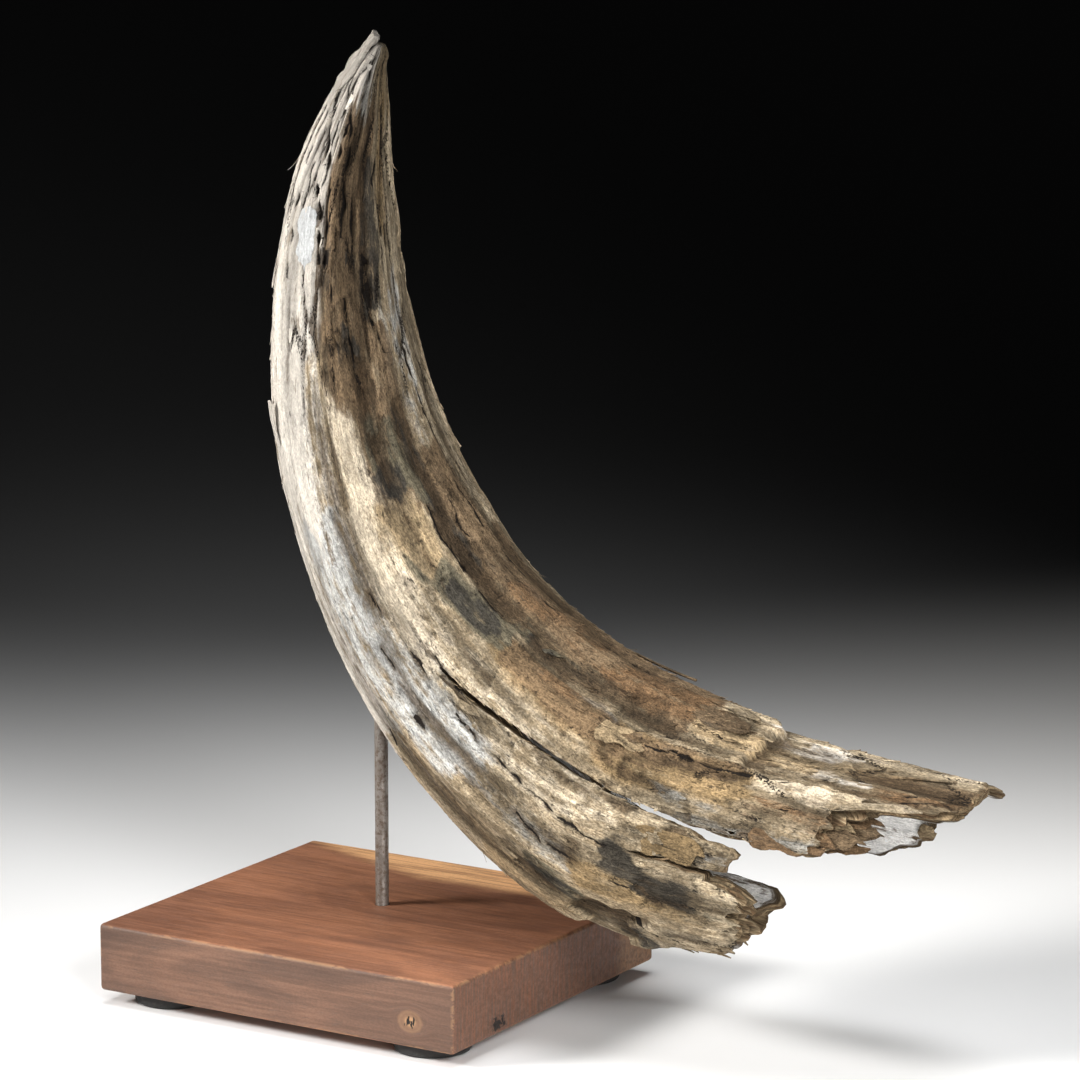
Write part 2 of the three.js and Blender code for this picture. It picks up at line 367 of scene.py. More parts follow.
# On the block, in millimetres: a knot on the front, a chip on the right end, the corner of the sapwood
KNOT = (-24.7, 14.5)
CHIP = (-40.0, 9.5)
SAPWOOD_X = -93
SAPWOOD_Y = 43

# Painted shade in the holes of the wood, and the tint of the dust on the feet
HOLE_SHADE = (0.012, 0.008, 0.006)
DUST_TINT = (0.09, 0.085, 0.08)

# The hole for the rod, and the room that it leaves below the rod
BORE_RADIUS = 2.8 * MM
BORE_ROOM = 0.3 * MM

# Widths in millimetres of the fibres that the horn's material draws
BROAD_FIBRE = 2.6
FINE_FIBRE = 0.8

# Lights: place, target and panel in metres, tint, spread and turn in degrees
LIGHTS = {
    "top": ((0.01, -0.44, 1.2), (0.01, -0.44, 0), (1.8, 1.3), (1, 1, 1), 37, 9),
    "key": ((-1.0, -0.86, 0.92), (0.0, 0.0, 0.23), (0.6, 0.6), (1, 0.98, 0.95), 29, 0),
    "side": ((0.8, -0.55, 0.12), (0.03, 0.0, 0.22), (0.5, 0.5), (1, 1, 1), 40, 0),
    "fill": ((0.75, -0.5, 0.45), (0.1, -0.05, -0.02), (0.6, 0.5), (1, 1, 1), 30, 0),
}

# The floor and the camera's sight in metres, the sensor in millimetres
FLOOR_RADIUS = 8
VIEW_END = 100
SENSOR_WIDTH = 36
SKY_STRENGTH = 0.002


# Settings that a user would change


def colour_setting(name, description, default):
    return bpy.props.FloatVectorProperty(
        name=name, description=description, subtype="COLOR", size=3, default=default, min=0, max=1)


def length_setting(name, description, default):
    return bpy.props.FloatProperty(
        name=name, description=description, default=default, subtype="DISTANCE", unit="LENGTH")


def power_setting(name, description, default):
    return bpy.props.FloatProperty(
        name=name, description=description, default=default, subtype="POWER", unit="POWER")


def angle_setting(name, description, degrees):
    return bpy.props.FloatProperty(
        name=name, description=description, default=math.radians(degrees), subtype="ANGLE", unit="ROTATION")


def count_setting(name, description, default, least=0):
    return bpy.props.IntProperty(name=name, description=description, default=default, min=least)


class HornSettings(bpy.types.PropertyGroup):
    """Sizes, seeds and tones of the horn sheath."""

    rows: count_setting("Rows", "Rings of points along the horn", 385, 60)
    front_columns: count_setting("Front columns", "Points round the front half of a ring", 116, 20)
    back_columns: count_setting("Back columns", "Points round the back half of a ring", 56, 20)
    seed: count_setting("Seed", "Seed of the weathering", 11)
    fibre_depth: length_setting("Fibre depth", "Height of the lengthwise fibres", 0.3 * MM)
    layer_depth: length_setting("Layer depth", "Step between two layers of horn", 0.6 * MM)
    furrow_depth: length_setting("Furrow depth", "Depth of the furrows between planks", 1.1 * MM)
    flake_density: bpy.props.FloatProperty(
        name="Flake density", description="Loose flakes for each square metre of frayed horn", default=62000)
    flake_length: length_setting("Flake length", "Usual length of a loose flake", 3.4 * MM)
    light_beige: colour_setting("Light beige", "Clean weathered horn", (0.37, 0.3, 0.205))
    dark_beige: colour_setting("Dark beige", "Stained weathered horn", (0.225, 0.172, 0.108))
    ivory: colour_setting("Ivory", "Bleached outer curve", (0.6, 0.555, 0.495))
    cream: colour_setting("Cream", "Clean warm bands", (0.51, 0.435, 0.33))
    tan: colour_setting("Tan", "Dull stained bands", (0.195, 0.132, 0.065))
    slate: colour_setting("Slate", "Dull grey bands", (0.24, 0.232, 0.21))
    olive: colour_setting("Olive", "Dark greenish stains", (0.1, 0.088, 0.06))
    rust: colour_setting("Rust brown", "Reddish stains", (0.145, 0.086, 0.044))
    grey: colour_setting("Grey", "Cool leached bands", (0.4, 0.4, 0.385))
    ochre: colour_setting("Ochre", "Warm stained bands", (0.31, 0.228, 0.132))
    brown: colour_setting("Brown", "Dark stained bands", (0.125, 0.083, 0.047))
    charcoal: colour_setting("Charcoal", "Mineral stains", (0.038, 0.034, 0.028))
    chalk: colour_setting("Chalk", "Bare patch near the tip", (0.64, 0.65, 0.65))
    lining: colour_setting("Lining", "White inner layer near the broken edges", (0.95, 0.93, 0.9))
    # Near black: dirt and painted shade in the cracks, pits and openings of the horn
    crack: colour_setting("Crack", "Dirt in the cracks", (0.012, 0.009, 0.007))


class StandSettings(bpy.types.PropertyGroup):
    """Sizes and colours of the rod, the block and its feet."""

    block_edge: length_setting("Block edge", "Rounding of the block's edges", 1.6 * MM)
    foot_edge: length_setting("Foot edge", "Rounding of a foot's rim", 1.5 * MM)
    walnut_light: colour_setting("Light walnut", "Pale grain of the top", (0.265, 0.114, 0.06))
    walnut_dark: colour_setting("Dark walnut", "Dark grain of the top", (0.165, 0.071, 0.04))
    walnut_front: colour_setting("Front walnut", "Dull sides", (0.19, 0.105, 0.07))
    walnut_end: colour_setting("End walnut", "Sawn ends", (0.095, 0.058, 0.042))
    sapwood: colour_setting("Sapwood", "Pale strip along the back edge", (0.68, 0.38, 0.18))
    steel: colour_setting("Steel", "Bare metal of the rod", (0.3, 0.275, 0.25))
    rust: colour_setting("Rust", "Oxide on the rod", (0.12, 0.085, 0.06))
    rubber: colour_setting("Rubber", "Feet", (0.018, 0.017, 0.016))


class StageSettings(bpy.types.PropertyGroup):
    """The floor, the lights and the camera."""

    floor: colour_setting("Floor", "Plain pale floor", (0.8, 0.8, 0.8))
    key_power: power_setting("Key light", "Power of the large light at the left", 2.3)
    top_power: power_setting("Top light", "Power of the light above the floor", 5.0)
    fill_power: power_setting("Fill light", "Power of the weak light on the floor at the right", 0.8)
    side_power: power_setting("Side light", "Power of the low light at the right", 0.85)
    camera_place: bpy.props.FloatVectorProperty(
        name="Camera place", description="Where the camera stands", subtype="TRANSLATION",
        unit="LENGTH", size=3, default=(0.8274, -1.3772, 0.4963))
    camera_turn: angle_setting("Camera turn", "How far right of the front the camera stands", 31.42)
    camera_dip: angle_setting("Camera dip", "How far down the camera looks", 11.27)
    camera_lens: bpy.props.FloatProperty(
        name="Lens", description="Focal length on a 36 mm sensor", default=155.8)


# Small tools for shapes and numbers


def smoothstep(low, high, value):
    share = np.clip((value - low) / (high - low), 0, 1)
    return share * share * (3 - 2 * share)


def smooth_noise(points, seed):
    """Noise from -1 to 1 that varies smoothly over points with three coordinates."""
    table = np.random.default_rng(seed).uniform(-1, 1, NOISE_VALUES)
    cell = np.floor(points).astype(np.int64)
    share = points - cell
    share = share ** 3 * (share * (share * 6 - 15) + 10)
    total = np.zeros(len(points))
    for corner in np.ndindex(2, 2, 2):
        x, y, z = ((cell + corner) * NOISE_STEPS).T
        value = table[(x ^ y ^ z) % NOISE_VALUES]
        total += value * np.prod(np.where(corner, share, 1 - share), axis=1)
    return total


def layered_noise(points, seed, octaves):
    total = np.zeros(len(points))
    for octave in range(octaves):
        total += smooth_noise(points * 2.03 ** octave, seed + octave) * 0.55 ** octave
    return total


def catmull_rom(points, share):
    """The smooth curve through points, as three.js draws it, at shares from 0 to 1."""
    ends = np.vstack([2 * points[0] - points[1], points, 2 * points[-1] - points[-2]])
    place = np.clip(share, 0, 1) * (len(points) - 1)
    span = np.minimum(place.astype(int), len(points) - 2)
    step = (place - span)[:, None]
    before, start, end, after = (ends[span + k] for k in range(4))
    leave = (end - before) / 2
    arrive = (after - start) / 2
    bend = 3 * (end - start) - 2 * leave - arrive
    return start + leave * step + bend * step ** 2 + (2 * (start - end) + leave + arrive) * step ** 3


def outline_distance(points, outline):
    """How far points of a side view lie outside an outline, less than 0 inside it."""
    corners = np.array(outline, float)
    away = np.full(len(points), np.inf)
    inside = np.zeros(len(points), bool)
    for start, end in zip(corners, np.roll(corners, -1, axis=0)):
        side = end - start
        offset = points - start
        share = np.clip(offset @ side / (side @ side), 0, 1)
        away = np.minimum(away, np.hypot(*(offset - share[:, None] * side).T))
        crosses = (start[1] > points[:, 1]) != (end[1] > points[:, 1])
        rise = np.where(crosses, end[1] - start[1], 1)
        inside ^= crosses & (points[:, 0] < start[0] + side[0] * (points[:, 1] - start[1]) / rise)
    return np.where(inside, -away, away)


def new_object(name, mesh):
    piece = bpy.data.objects.new(name, mesh)
    bpy.context.scene.collection.objects.link(piece)
    return piece


def mesh_of(work, name):
    """What a bmesh holds, as a new mesh."""
    mesh = bpy.data.meshes.new(name)
    work.to_mesh(mesh)
    work.free()
    return mesh


def applied(piece, name):
    """The piece as its modifiers leave it, as a plain mesh on a new object."""
    evaluated = piece.evaluated_get(bpy.context.evaluated_depsgraph_get())
    mesh = bpy.data.meshes.new_from_object(evaluated)
    old = piece.data
    bpy.data.objects.remove(piece)
    bpy.data.meshes.remove(old)
    mesh.name = name
    return new_object(name, mesh)


# The horn's form


class Centreline:
    """The horn's middle, its direction and its radius, by length from the tip."""

    def __init__(self):
        stations = catmull_rom(np.array(HORN_STATIONS, float), np.linspace(0, 1, 4001))
        steps = np.diff(stations[:, :2], axis=0)
        way = np.gradient(stations[:, :2], axis=0)
        way /= np.hypot(*way.T)[:, None]
        self.lengths = np.concatenate([[0], np.cumsum(np.hypot(*steps.T))])
        self.columns = np.column_stack([stations, way])

    def at(self, along):
        return [np.interp(along, self.lengths, column) for column in self.columns.T]

    def radius(self, along):
        return self.at(along)[2]

    def point(self, along, around, radius):
        """Points in millimetres, with X and Y counted from the rod."""
        x, z, _, way_x, way_z = self.at(along)
        rise = radius * np.cos(np.radians(around))
        depth = HORN_DEPTH_SHARE * radius * np.sin(np.radians(around))
        return np.column_stack([x - way_z * rise, -depth, z + way_x * rise])


HORN = Centreline()

# How far the wall reaches from the rod, with room in the part's box for its ragged layers
HORN_REACH = (CAD_BOX[1].x - ROD_X) / MM - 1.8


def fibre_place(along, around, width, stretch):
    """Noise coordinates that run seamlessly round the horn and are drawn out along it."""
    turn = np.radians(around)
    girth = GIRTH / width
    return np.column_stack([girth * np.cos(turn), girth * np.sin(turn), along / (width * stretch)])


def wrapped(around):
    """Degrees round the horn, from -120 at its back to 240."""
    return np.mod(np.asarray(around, float) + 120, 360) - 120


def within(value, stretch, step):
    low, high = stretch
    half = step / 2
    return smoothstep(low - half, low + half, value) * smoothstep(high + half, high - half, value)


def patch_distance(along, turn, patch):
    """How far points lie outside a patch in millimetres, less than 0 inside it."""
    start, end, turn_start, turn_end, half = patch
    share = (along - start) / (end - start)
    across = np.abs(turn - turn_start - share * (turn_end - turn_start)) - half
    past_side = np.radians(across) * GIRTH
    past_end = (np.abs(share - 0.5) - 0.5) * (end - start)
    corner = min(0.7 * np.radians(half) * GIRTH, 0.25 * (end - start), 8)
    outside = np.hypot(np.maximum(past_side + corner, 0), np.maximum(past_end + corner, 0)) - corner
    return np.where(np.maximum(past_side, past_end) < -corner, np.maximum(past_side, past_end), outside)


def flaking(along, around, seed):
    """Depth of the layers that have come off, with ragged edges, and the distance to the nearest edge."""
    ragged_along = along + 5 * layered_noise(fibre_place(along, around, 4, 6), seed, 3)
    ragged_around = wrapped(around) + 4 * layered_noise(fibre_place(along, around, 9, 2), seed + 10, 3)
    depth = np.zeros(len(along))
    slant = 16 * layered_noise(fibre_place(along, around, 34, 1), seed + 20, 2)
    for stretch, turn, amount in FLAKED:
        depth += amount * within(ragged_along + slant, stretch, 2.4) * within(ragged_around, turn, 3.5)
    nearest = np.full(len(along), FAR_AWAY)
    for amount, patch in LEDGES:
        away = patch_distance(ragged_along, 0.4 * wrapped(around) + 0.6 * ragged_around, patch)
        start, end = patch[:2]
        fade = smoothstep(end, start + 0.3 * (end - start), along)
        depth += amount * fade * smoothstep(0.6, -0.6, away)
        signed = np.where(fade > 0.35, away if amount > 0 else -away, FAR_AWAY)
        nearest = np.where(np.abs(signed) < np.abs(nearest), signed, nearest)
    for amount, patch in VALLEYS:
        depth += amount * smoothstep(3, -6, patch_distance(along, ragged_around, patch))
    return depth, nearest


def plates(along, around, width, length, seed):
    """Long plates side by side: the distance to a plate's edge, and the plate's own height, 0 to 1."""
    count = round(2 * math.pi * GIRTH / width)
    table = np.random.default_rng(seed).uniform(0, 1, (3, NOISE_VALUES))
    bend = layered_noise(fibre_place(along, around, 2 * width, 3), seed + 1, 3)
    across = np.mod(around, 360) / 360 * count + 0.45 * bend
    down = along / length + 0.35 * layered_noise(fibre_place(along, around, width, 4), seed + 5, 2)
    first = np.full(len(along), np.inf)
    second = first.copy()
    height = np.zeros(len(along))
    for side in (-1, 0, 1):
        for row in (-1, 0, 1):
            cell_across = np.floor(across).astype(np.int64) + side
            cell_down = np.floor(down).astype(np.int64) + row
            spot = (np.mod(cell_across, count) * NOISE_STEPS[0] ^ cell_down * NOISE_STEPS[1]) % NOISE_VALUES
            away = np.hypot(across - cell_across - table[0][spot], down - cell_down - table[1][spot])
            closer = away < first
            second = np.where(closer, first, np.minimum(second, away))
            height = np.where(closer, table[2][spot], height)
            first = np.where(closer, away, first)
    return (second - first) * width / 2, height


def layering(along, around, seed):
    """Steps between layers, from 0 to about 3."""
    level = 1.6 + 2.1 * layered_noise(fibre_place(along, around, 15, 4.5), seed, 4)
    return np.floor(level) + smoothstep(0.3, 0.55, level - np.floor(level))


def crack_offset(along, around, crack):
    """Distance in millimetres round the horn from a crack, and the share of its length that is passed."""
    start, end, turn_start, turn_end = crack
    share = (along - start) / (end - start)
    wobble = 0.9 * layered_noise(np.column_stack([along / 9, 0 * along, 0 * along + start]), 3, 3)
    turn = np.radians(wrapped(around) - turn_start - share * (turn_end - turn_start))
    return turn * HORN.radius(along) + wobble, share


def all_cracks(seed):
    """The cracks of the front, and more at random for the back."""
    random = np.random.default_rng(seed)
    cracks = list(CRACKS)
    for _ in range(BACK_CRACKS):
        start = random.uniform(20, 400)
        turn = random.uniform(150, 236)
        length = random.uniform(18, 70)
        width = random.uniform(0.3, 0.7)
        cracks.append((width, width * 2, start, start + length, turn, turn + random.uniform(-6, 6)))
    return cracks


def crack_fields(along, around, seed):
    """Groove depth, and for each channel the offset from its nearest crack and that crack's half width."""
    depth = np.zeros(len(along))
    offsets = np.full((len(CRACK_NAMES), len(along)), FAR_AWAY)
    widths = np.zeros((len(CRACK_NAMES), len(along)))
    for number, (width, deep, *way) in enumerate(all_cracks(seed)):
        offset, share = crack_offset(along, around, way)
        uneven = smooth_noise(np.column_stack([along / 4, 0 * along + number, 0 * along]), 7)
        taper = np.sqrt(np.clip(4 * share * (1 - share), 0, 1)) * np.clip(0.75 + 0.7 * uneven, 0.1, 1.4)
        near = (taper > 0) & (np.abs(offset) < 4)
        groove = np.clip(1 - np.abs(offset) / (width + 0.9), 0, 1)
        depth[near] = np.maximum(depth[near], (deep * taper * groove)[near])
        channel = number % len(CRACK_NAMES)
        closer = near & (np.abs(offset) < np.abs(offsets[channel]))
        offsets[channel][closer] = offset[closer]
        widths[channel][closer] = (width * taper)[closer]
    return depth, offsets, widths


def wall_thickness(along):
    places, walls = np.array(HOLLOW_WALLS, float).T
    return np.interp(along, places, walls)


def outer_inset(along, around, settings):
    """How far the weathered surface lies under the smooth horn, with values for the material."""
    seed = settings.seed
    turn = wrapped(around)
    small = np.minimum(1, HORN.radius(along) / 16)
    inset = np.zeros(len(along))
    for count, twist, height in RIDGES:
        wave = np.cos(count * np.radians(around) + twist * along)
        inset += smoothstep(*RIDGES_ALONG, along) * height * wave
    flaked, ledge = flaking(along, around, seed + 100)
    layers = layering(along, around, seed + 200)
    fibres = layered_noise(fibre_place(along, around, 3.2, 16), seed + 300, 2)
    fine = smooth_noise(fibre_place(along, around, 1.7, 12), seed + 320)
    cracks, offsets, widths = crack_fields(along, around, seed + 400)

    # Long plates towards the tip and the broken end, broad flakes between
    smooth_side = smoothstep(*STRIPS_ON_FRONT, turn) + smoothstep(*STRIPS_ON_BACK, turn)
    smooth_side += smoothstep(*STRIPS_ROUND_TIP, along)
    strips = smoothstep(*STRIPS_TO_TIP, along) * np.minimum(smooth_side, 1)
    strips += 0.6 * smoothstep(*STRIPS_TO_BREAK, along)
    strips = np.clip(strips, 0, 1)
    strip_edge, strip_height = plates(along, around, *STRIP_SIZE, seed + 340)
    strip_edge *= np.clip(HORN.radius(along) / GIRTH, 0.25, 1)
    flakes = smoothstep(*FLAKES_ALONG, along) * (0.3 + 0.7 * smoothstep(*FLAKES_ON_FRONT, turn))
    flake_edge, flake_height = plates(along, around, *FLAKE_SIZE, seed + 360)
    inset += settings.furrow_depth / MM * strips * (1 - strip_height + 0.7 * smoothstep(0.9, 0, strip_edge))
    inset += settings.layer_depth / MM * flakes * (0.5 - flake_height + 0.5 * (layers - 1.5))
    inset += flaked + settings.fibre_depth / MM * (fibres + 0.5 * fine)
    inset += cracks
    grit = np.random.default_rng(seed).uniform(-1, 1, len(along))
    inset += 0.1 * grit * smoothstep(*ROUGH_ALONG, along)
    values = {"ledge": np.clip(ledge, -FAR_AWAY, FAR_AWAY)}
    values["strip"] = np.column_stack([strip_edge, strips, strip_height])
    values["flake"] = np.column_stack([flake_edge, flakes, flake_height])
    for name, offset, width in zip(CRACK_NAMES, offsets, widths):
        values[name] = np.column_stack([offset, width, 0 * along])
    worn = smoothstep(*WORN_ON_FRONT, turn) * smoothstep(*WORN_ON_TOP, turn)
    worn *= smoothstep(*WORN_ALONG, along)
    near_ledge = smoothstep(2.2, 0.4, np.abs(ledge))
    values["fray"] = 0.04 + 0.5 * smoothstep(0.4, 1.2, cracks) + 0.3 * worn + 0.7 * near_ledge
    return small * inset, values


def hollows(inset, rows, columns):
    """How deep each point of the grid lies under its surroundings, from -1 on a ridge to 1 in a groove."""
    grid = inset[:rows * columns].reshape(rows, columns)
    spread = grid.copy()
    for reach in (1, 2, 4):
        padded = np.pad(spread, ((reach, reach), (0, 0)), mode="edge")
        spread = (padded[:rows] + spread + padded[2 * reach:]) / 3
        spread = (np.roll(spread, reach, axis=1) + spread + np.roll(spread, -reach, axis=1)) / 3
    depth = np.zeros(len(inset))
    depth[:rows * columns] = np.clip((grid - spread).ravel() / 0.7, -1, 1)
    return depth


def wall_stands(along, around):
    """More than 0 where the wall still stands, in millimetres from its broken edge, before it splintered."""
    side = HORN.point(along, around, HORN.radius(along))[:, [0, 2]]
    front = outline_distance(side, FRONT_LOSS)
    back = outline_distance(side, BACK_LOSS)
    frontness = smoothstep(-0.22, 0.22, np.sin(np.radians(around)))
    return back + (front - back) * frontness


def kept(along, around, seed):
    """More than 0 where the wall still stands, with a splintered edge."""
    x = HORN.point(along, around, HORN.radius(along))[:, 0]
    mouth = smoothstep(*MOUTH_FROM_ROD, x)
    splinter = layered_noise(fibre_place(along, around, 3.0, 7), seed, 3)
    return np.minimum(wall_stands(along, around) + splinter * (0.4 + 2.0 * mouth), HORN_REACH - x)


def break_way(along, around):
    """The way out over the break: length along the horn and degrees round it, for each millimetre."""
    degree = np.degrees(1 / HORN.radius(along))
    rise_along = wall_stands(along + 1, around) - wall_stands(along - 1, around)
    rise_around = wall_stands(along, around + degree) - wall_stands(along, around - degree)
    size = np.maximum(np.hypot(rise_along, rise_around), 0.4)
    return -rise_along / size, -rise_around / size * degree


def clipped_grid(along_rows, around_columns, stands):
    """The faces of a closed-round grid that stand, cut along the broken edge.

    Gives the length and the degrees of each point, the faces with the row that each starts in, and the
    directed edges along the break."""
    rows, columns = len(along_rows), len(around_columns)
    along = np.repeat(along_rows, columns)
    around = np.tile(around_columns, rows)
    keep = stands.reshape(rows, columns) > 0
    places = [along.copy()]
    turns = [around.copy()]
    made = {}
    faces, face_rows, breaks = [], [], []

    def crossing(a, b):
        key = (min(a, b), max(a, b))
        if key not in made:
            first, second = key
            share = stands[first] / (stands[first] - stands[second])
            share = min(max(share, 0.02), 0.98)
            turn = around[second] - around[first]
            turn -= 360 * round(turn / 360)
            made[key] = rows * columns + len(made)
            places.append([along[first] + share * (along[second] - along[first])])
            turns.append([around[first] + share * turn])
        return made[key]

    for row in range(rows - 1):
        for column in range(columns):
            beside = (column + 1) % columns
            corners = [row * columns + column, (row + 1) * columns + column,
                       (row + 1) * columns + beside, row * columns + beside]
            standing = [keep[row, column], keep[row + 1, column], keep[row + 1, beside], keep[row, beside]]
            if all(standing):
                faces.append(corners)
                face_rows.append(row)
            elif any(standing):
                face = []
                cuts = []
                for k in range(4):
                    if standing[k]:
                        face.append(corners[k])
                    if standing[k] != standing[k - 3]:
                        face.append(crossing(corners[k], corners[k - 3]))
                        cuts.append((len(face) - 1, standing[k]))
                for spot, leaving in cuts:
                    if leaving:
                        breaks.append((face[spot], face[(spot + 1) % len(face)]))
                faces.append(face)
                face_rows.append(row)
    return np.concatenate(places), np.concatenate(turns), faces, face_rows, breaks


def connected(stands, rows, columns):
    """Only what hangs together with the tip still stands."""
    keep = stands.reshape(rows, columns) > 0
    joined = np.zeros_like(keep)
    joined[0] = True
    while True:
        grown = joined.copy()
        grown[1:] |= joined[:-1]
        grown[:-1] |= joined[1:]
        grown |= np.roll(joined, 1, axis=1) | np.roll(joined, -1, axis=1)
        grown &= keep
        if (grown == joined).all():
            return np.where(joined.ravel(), stands, np.minimum(stands, -0.2))
        joined = grown


def tone_masks(along, around):
    """How much of each tone a point has, from 0 to 1."""
    turn = wrapped(around)
    shift = layered_noise(fibre_place(along, around, 9, 2.5), 800, 4)
    drift = layered_noise(fibre_place(along, around, 6, 5), 820, 4)
    masks = {}
    for tone, patches in TONES.items():
        mask = np.zeros(len(along))
        blur = CRISP_EDGE if tone in CRISP_TONES else SOFT_EDGE
        for strength, patch in patches:
            away = patch_distance(along + 9 * shift, turn + 4 * drift, patch)
            mask = np.maximum(mask, strength * smoothstep(blur, -blur, away))
        masks[tone] = mask
    back = smoothstep(*BACK_FROM_BELOW, turn) + smoothstep(*BACK_FROM_ABOVE, turn)
    for number, (tone, level) in enumerate(BACK_TONES.items()):
        blotch = layered_noise(fibre_place(along, around, 22, 3.5), 900 + 20 * number, 3)
        masks[tone] = np.maximum(masks[tone], back * smoothstep(level, level + 0.35, blotch))
    return masks


def weathered_radius(along, around, settings):
    return HORN.radius(along) - outer_inset(along, around, settings)[0]


def softened(grid, passes=3):
    """The grid with each value drawn towards its neighbours."""
    for _ in range(passes):
        wide = np.pad(grid, 1, mode="edge")
        grid = (wide[:-2, 1:-1] + wide[2:, 1:-1] + wide[1:-1, :-2] + wide[1:-1, 2:] + 2 * grid) / 6
    return grid


def plate_mesh(lift_start, lift_end, thickness, patch, settings, seed):
    """A ragged plate that follows the horn's surface, as points, faces and their length and degrees."""
    start, end, turn_start, turn_end, half = patch
    steps = max(8, round((end - start) / 1.4))
    sides = max(6, round(np.radians(2 * half) * HORN.radius(np.array([(start + end) / 2]))[0] / 1.4))
    share, across = (grid.ravel() for grid in np.meshgrid(
        np.linspace(0, 1, steps), np.linspace(-1, 1, sides), indexing="ij"))
    ragged_end = layered_noise(np.column_stack([across * 2.5, 0 * share, 0 * share]), seed, 3)
    side_place = np.column_stack([share * (end - start) / 6, np.sign(across), 0 * share])
    ragged_side = layered_noise(side_place, seed + 5, 3)
    along = start + (end - start) * share * (1 + 0.12 * ragged_end * share)
    width = half * (1 + 0.22 * ragged_side) * (1 - np.abs(2 * share - 1) ** 5) ** 0.4
    around = turn_start + share * (turn_end - turn_start) + across * width
    lift = lift_start + (lift_end - lift_start) * share ** 1.5
    rough = (0.2 + 0.16 * thickness) * layered_noise(fibre_place(along, around, 3.0, 4), seed + 9, 3)
    radius = HORN.radius(along) if lift_start < -2 else weathered_radius(along, around, settings)
    radius = softened(radius.reshape(steps, sides)).ravel()
    top = np.maximum(radius + lift + rough, 0.6)
    edge = np.minimum(np.minimum(share, 1 - share) * (end - start), (1 - np.abs(across)) * half * 0.7)
    deep = np.maximum(top - thickness * (0.45 + 0.55 * smoothstep(0, 3, edge)), 0.2)
    points = np.vstack([HORN.point(along, around, top), HORN.point(along, around, deep)])
    grid = np.arange(steps * sides).reshape(steps, sides)
    below = grid + steps * sides
    faces = []
    for row in range(steps - 1):
        for side in range(sides - 1):
            a, b, c, d = grid[row, side], grid[row, side + 1], grid[row + 1, side + 1], grid[row + 1, side]
            faces.append([int(k) for k in (a, b, c, d)])
            faces.append([int(k) + steps * sides for k in (d, c, b, a)])
    border = [*grid[0], *grid[1:, -1], *grid[-1, -2::-1], *grid[-2:0:-1, 0]]
    for a, b in zip(border, border[1:] + border[:1]):
        faces.append([int(b), int(a), int(below.flat[a]), int(below.flat[b])])
    return points, faces, np.tile(along, 2), np.tile(around, 2)


def sliver_mesh(half_width, thickness, stations, settings, seed):
    """A thin splinter that follows the horn's fibres, as points, faces and their length and degrees."""
    stations = np.array(stations, float)
    along, around, lift = catmull_rom(stations, np.linspace(0, 1, 5 * len(stations))).T
    share = np.linspace(0, 1, len(along))
    ragged = 1 + 0.35 * smooth_noise(np.column_stack([share * 7, share * 0, share * 0]), seed)
    width = half_width * ragged * np.clip(np.minimum(share * 6, (1 - share) * 4), 0.12, 1) ** 0.6
    radius = weathered_radius(along, around, settings)
    radius = np.convolve(np.pad(radius, 3, mode="edge"), np.ones(7) / 7, mode="valid")
    rings = []
    turns = []
    for across, up in SLIVER_SECTION:
        turn = around + np.degrees(across * width / np.maximum(radius, 4))
        rings.append(HORN.point(along, turn, radius + lift + up * thickness))
        turns.append(turn)
    count = len(SLIVER_SECTION)
    points = np.stack(rings, axis=1).reshape(-1, 3)
    faces = []
    for ring in range(len(along) - 1):
        for side in range(count):
            beside = (side + 1) % count
            low, high = ring * count, (ring + 1) * count
            faces.append([low + side, low + beside, high + beside, high + side])
    faces.append(list(range(count))[::-1])
    faces.append([(len(along) - 1) * count + side for side in range(count)])
    return points, faces, np.repeat(along, count), np.stack(turns, axis=1).ravel()


def tidy_face(face):
    """The face with points that fell together taken out, or nothing if too few are left."""
    clean = [point for k, point in enumerate(face) if point != face[k - 1]]
    return clean if len(clean) > 2 else None


class HornMesh:
    """Collects the points, faces and surface values of the horn sheath."""

    def __init__(self):
        self.parts = []
        self.faces = []
        self.count = 0

    def add(self, point, faces, **values):
        """Adds points in millimetres with their values, and returns the number of the first."""
        first = self.count
        self.parts.append((point, values))
        self.faces += [[first + k for k in face] for face in faces]
        self.count += len(point)
        return first

    def value(self, name, width=1):
        blocks = []
        for point, values in self.parts:
            usual = FAR_AWAY if name == "ledge" else 0
            block = values.get(name, np.full((len(point), width), usual))
            blocks.append(np.broadcast_to(np.asarray(block, float).reshape(-1, width), (len(point), width)))
        return np.concatenate(blocks)

    def mesh(self, name):
        points = np.concatenate([point for point, _ in self.parts])
        world = (points * MM + np.array([ROD_X, ROD_Y, 0])).tolist()
        mesh = bpy.data.meshes.new(name)
        mesh.from_pydata(world, [], self.faces)
        for attribute in ("rim", "hollow", "groove", "ledge", "fray") + tuple(TONES):
            layer = mesh.attributes.new(attribute, "FLOAT", "POINT")
            layer.data.foreach_set("value", self.value(attribute).ravel())
        for attribute in ("fibre", "way", "strip", "flake", *CRACK_NAMES):
            layer = mesh.attributes.new(attribute, "FLOAT_VECTOR", "POINT")
            layer.data.foreach_set("vector", self.value(attribute, 3).ravel())
        return mesh


def surface_values(along, around):
    """Values that every part of the horn carries: its place among the fibres, their way and its tones."""
    turn = np.radians(around)
    _, _, _, way_x, way_z = HORN.at(along)
    values = tone_masks(along, around)
    values["fibre"] = np.column_stack([GIRTH * np.cos(turn), GIRTH * np.sin(turn), along])
    values["way"] = np.column_stack([way_x, 0 * way_x, way_z])
    return values


def horn_columns(settings):
    """Degrees round the horn, closer together on the front."""
    front = np.linspace(-40, 165, settings.front_columns, endpoint=False)
    back = np.linspace(165, 320, settings.back_columns, endpoint=False)
    return np.concatenate([front, back])


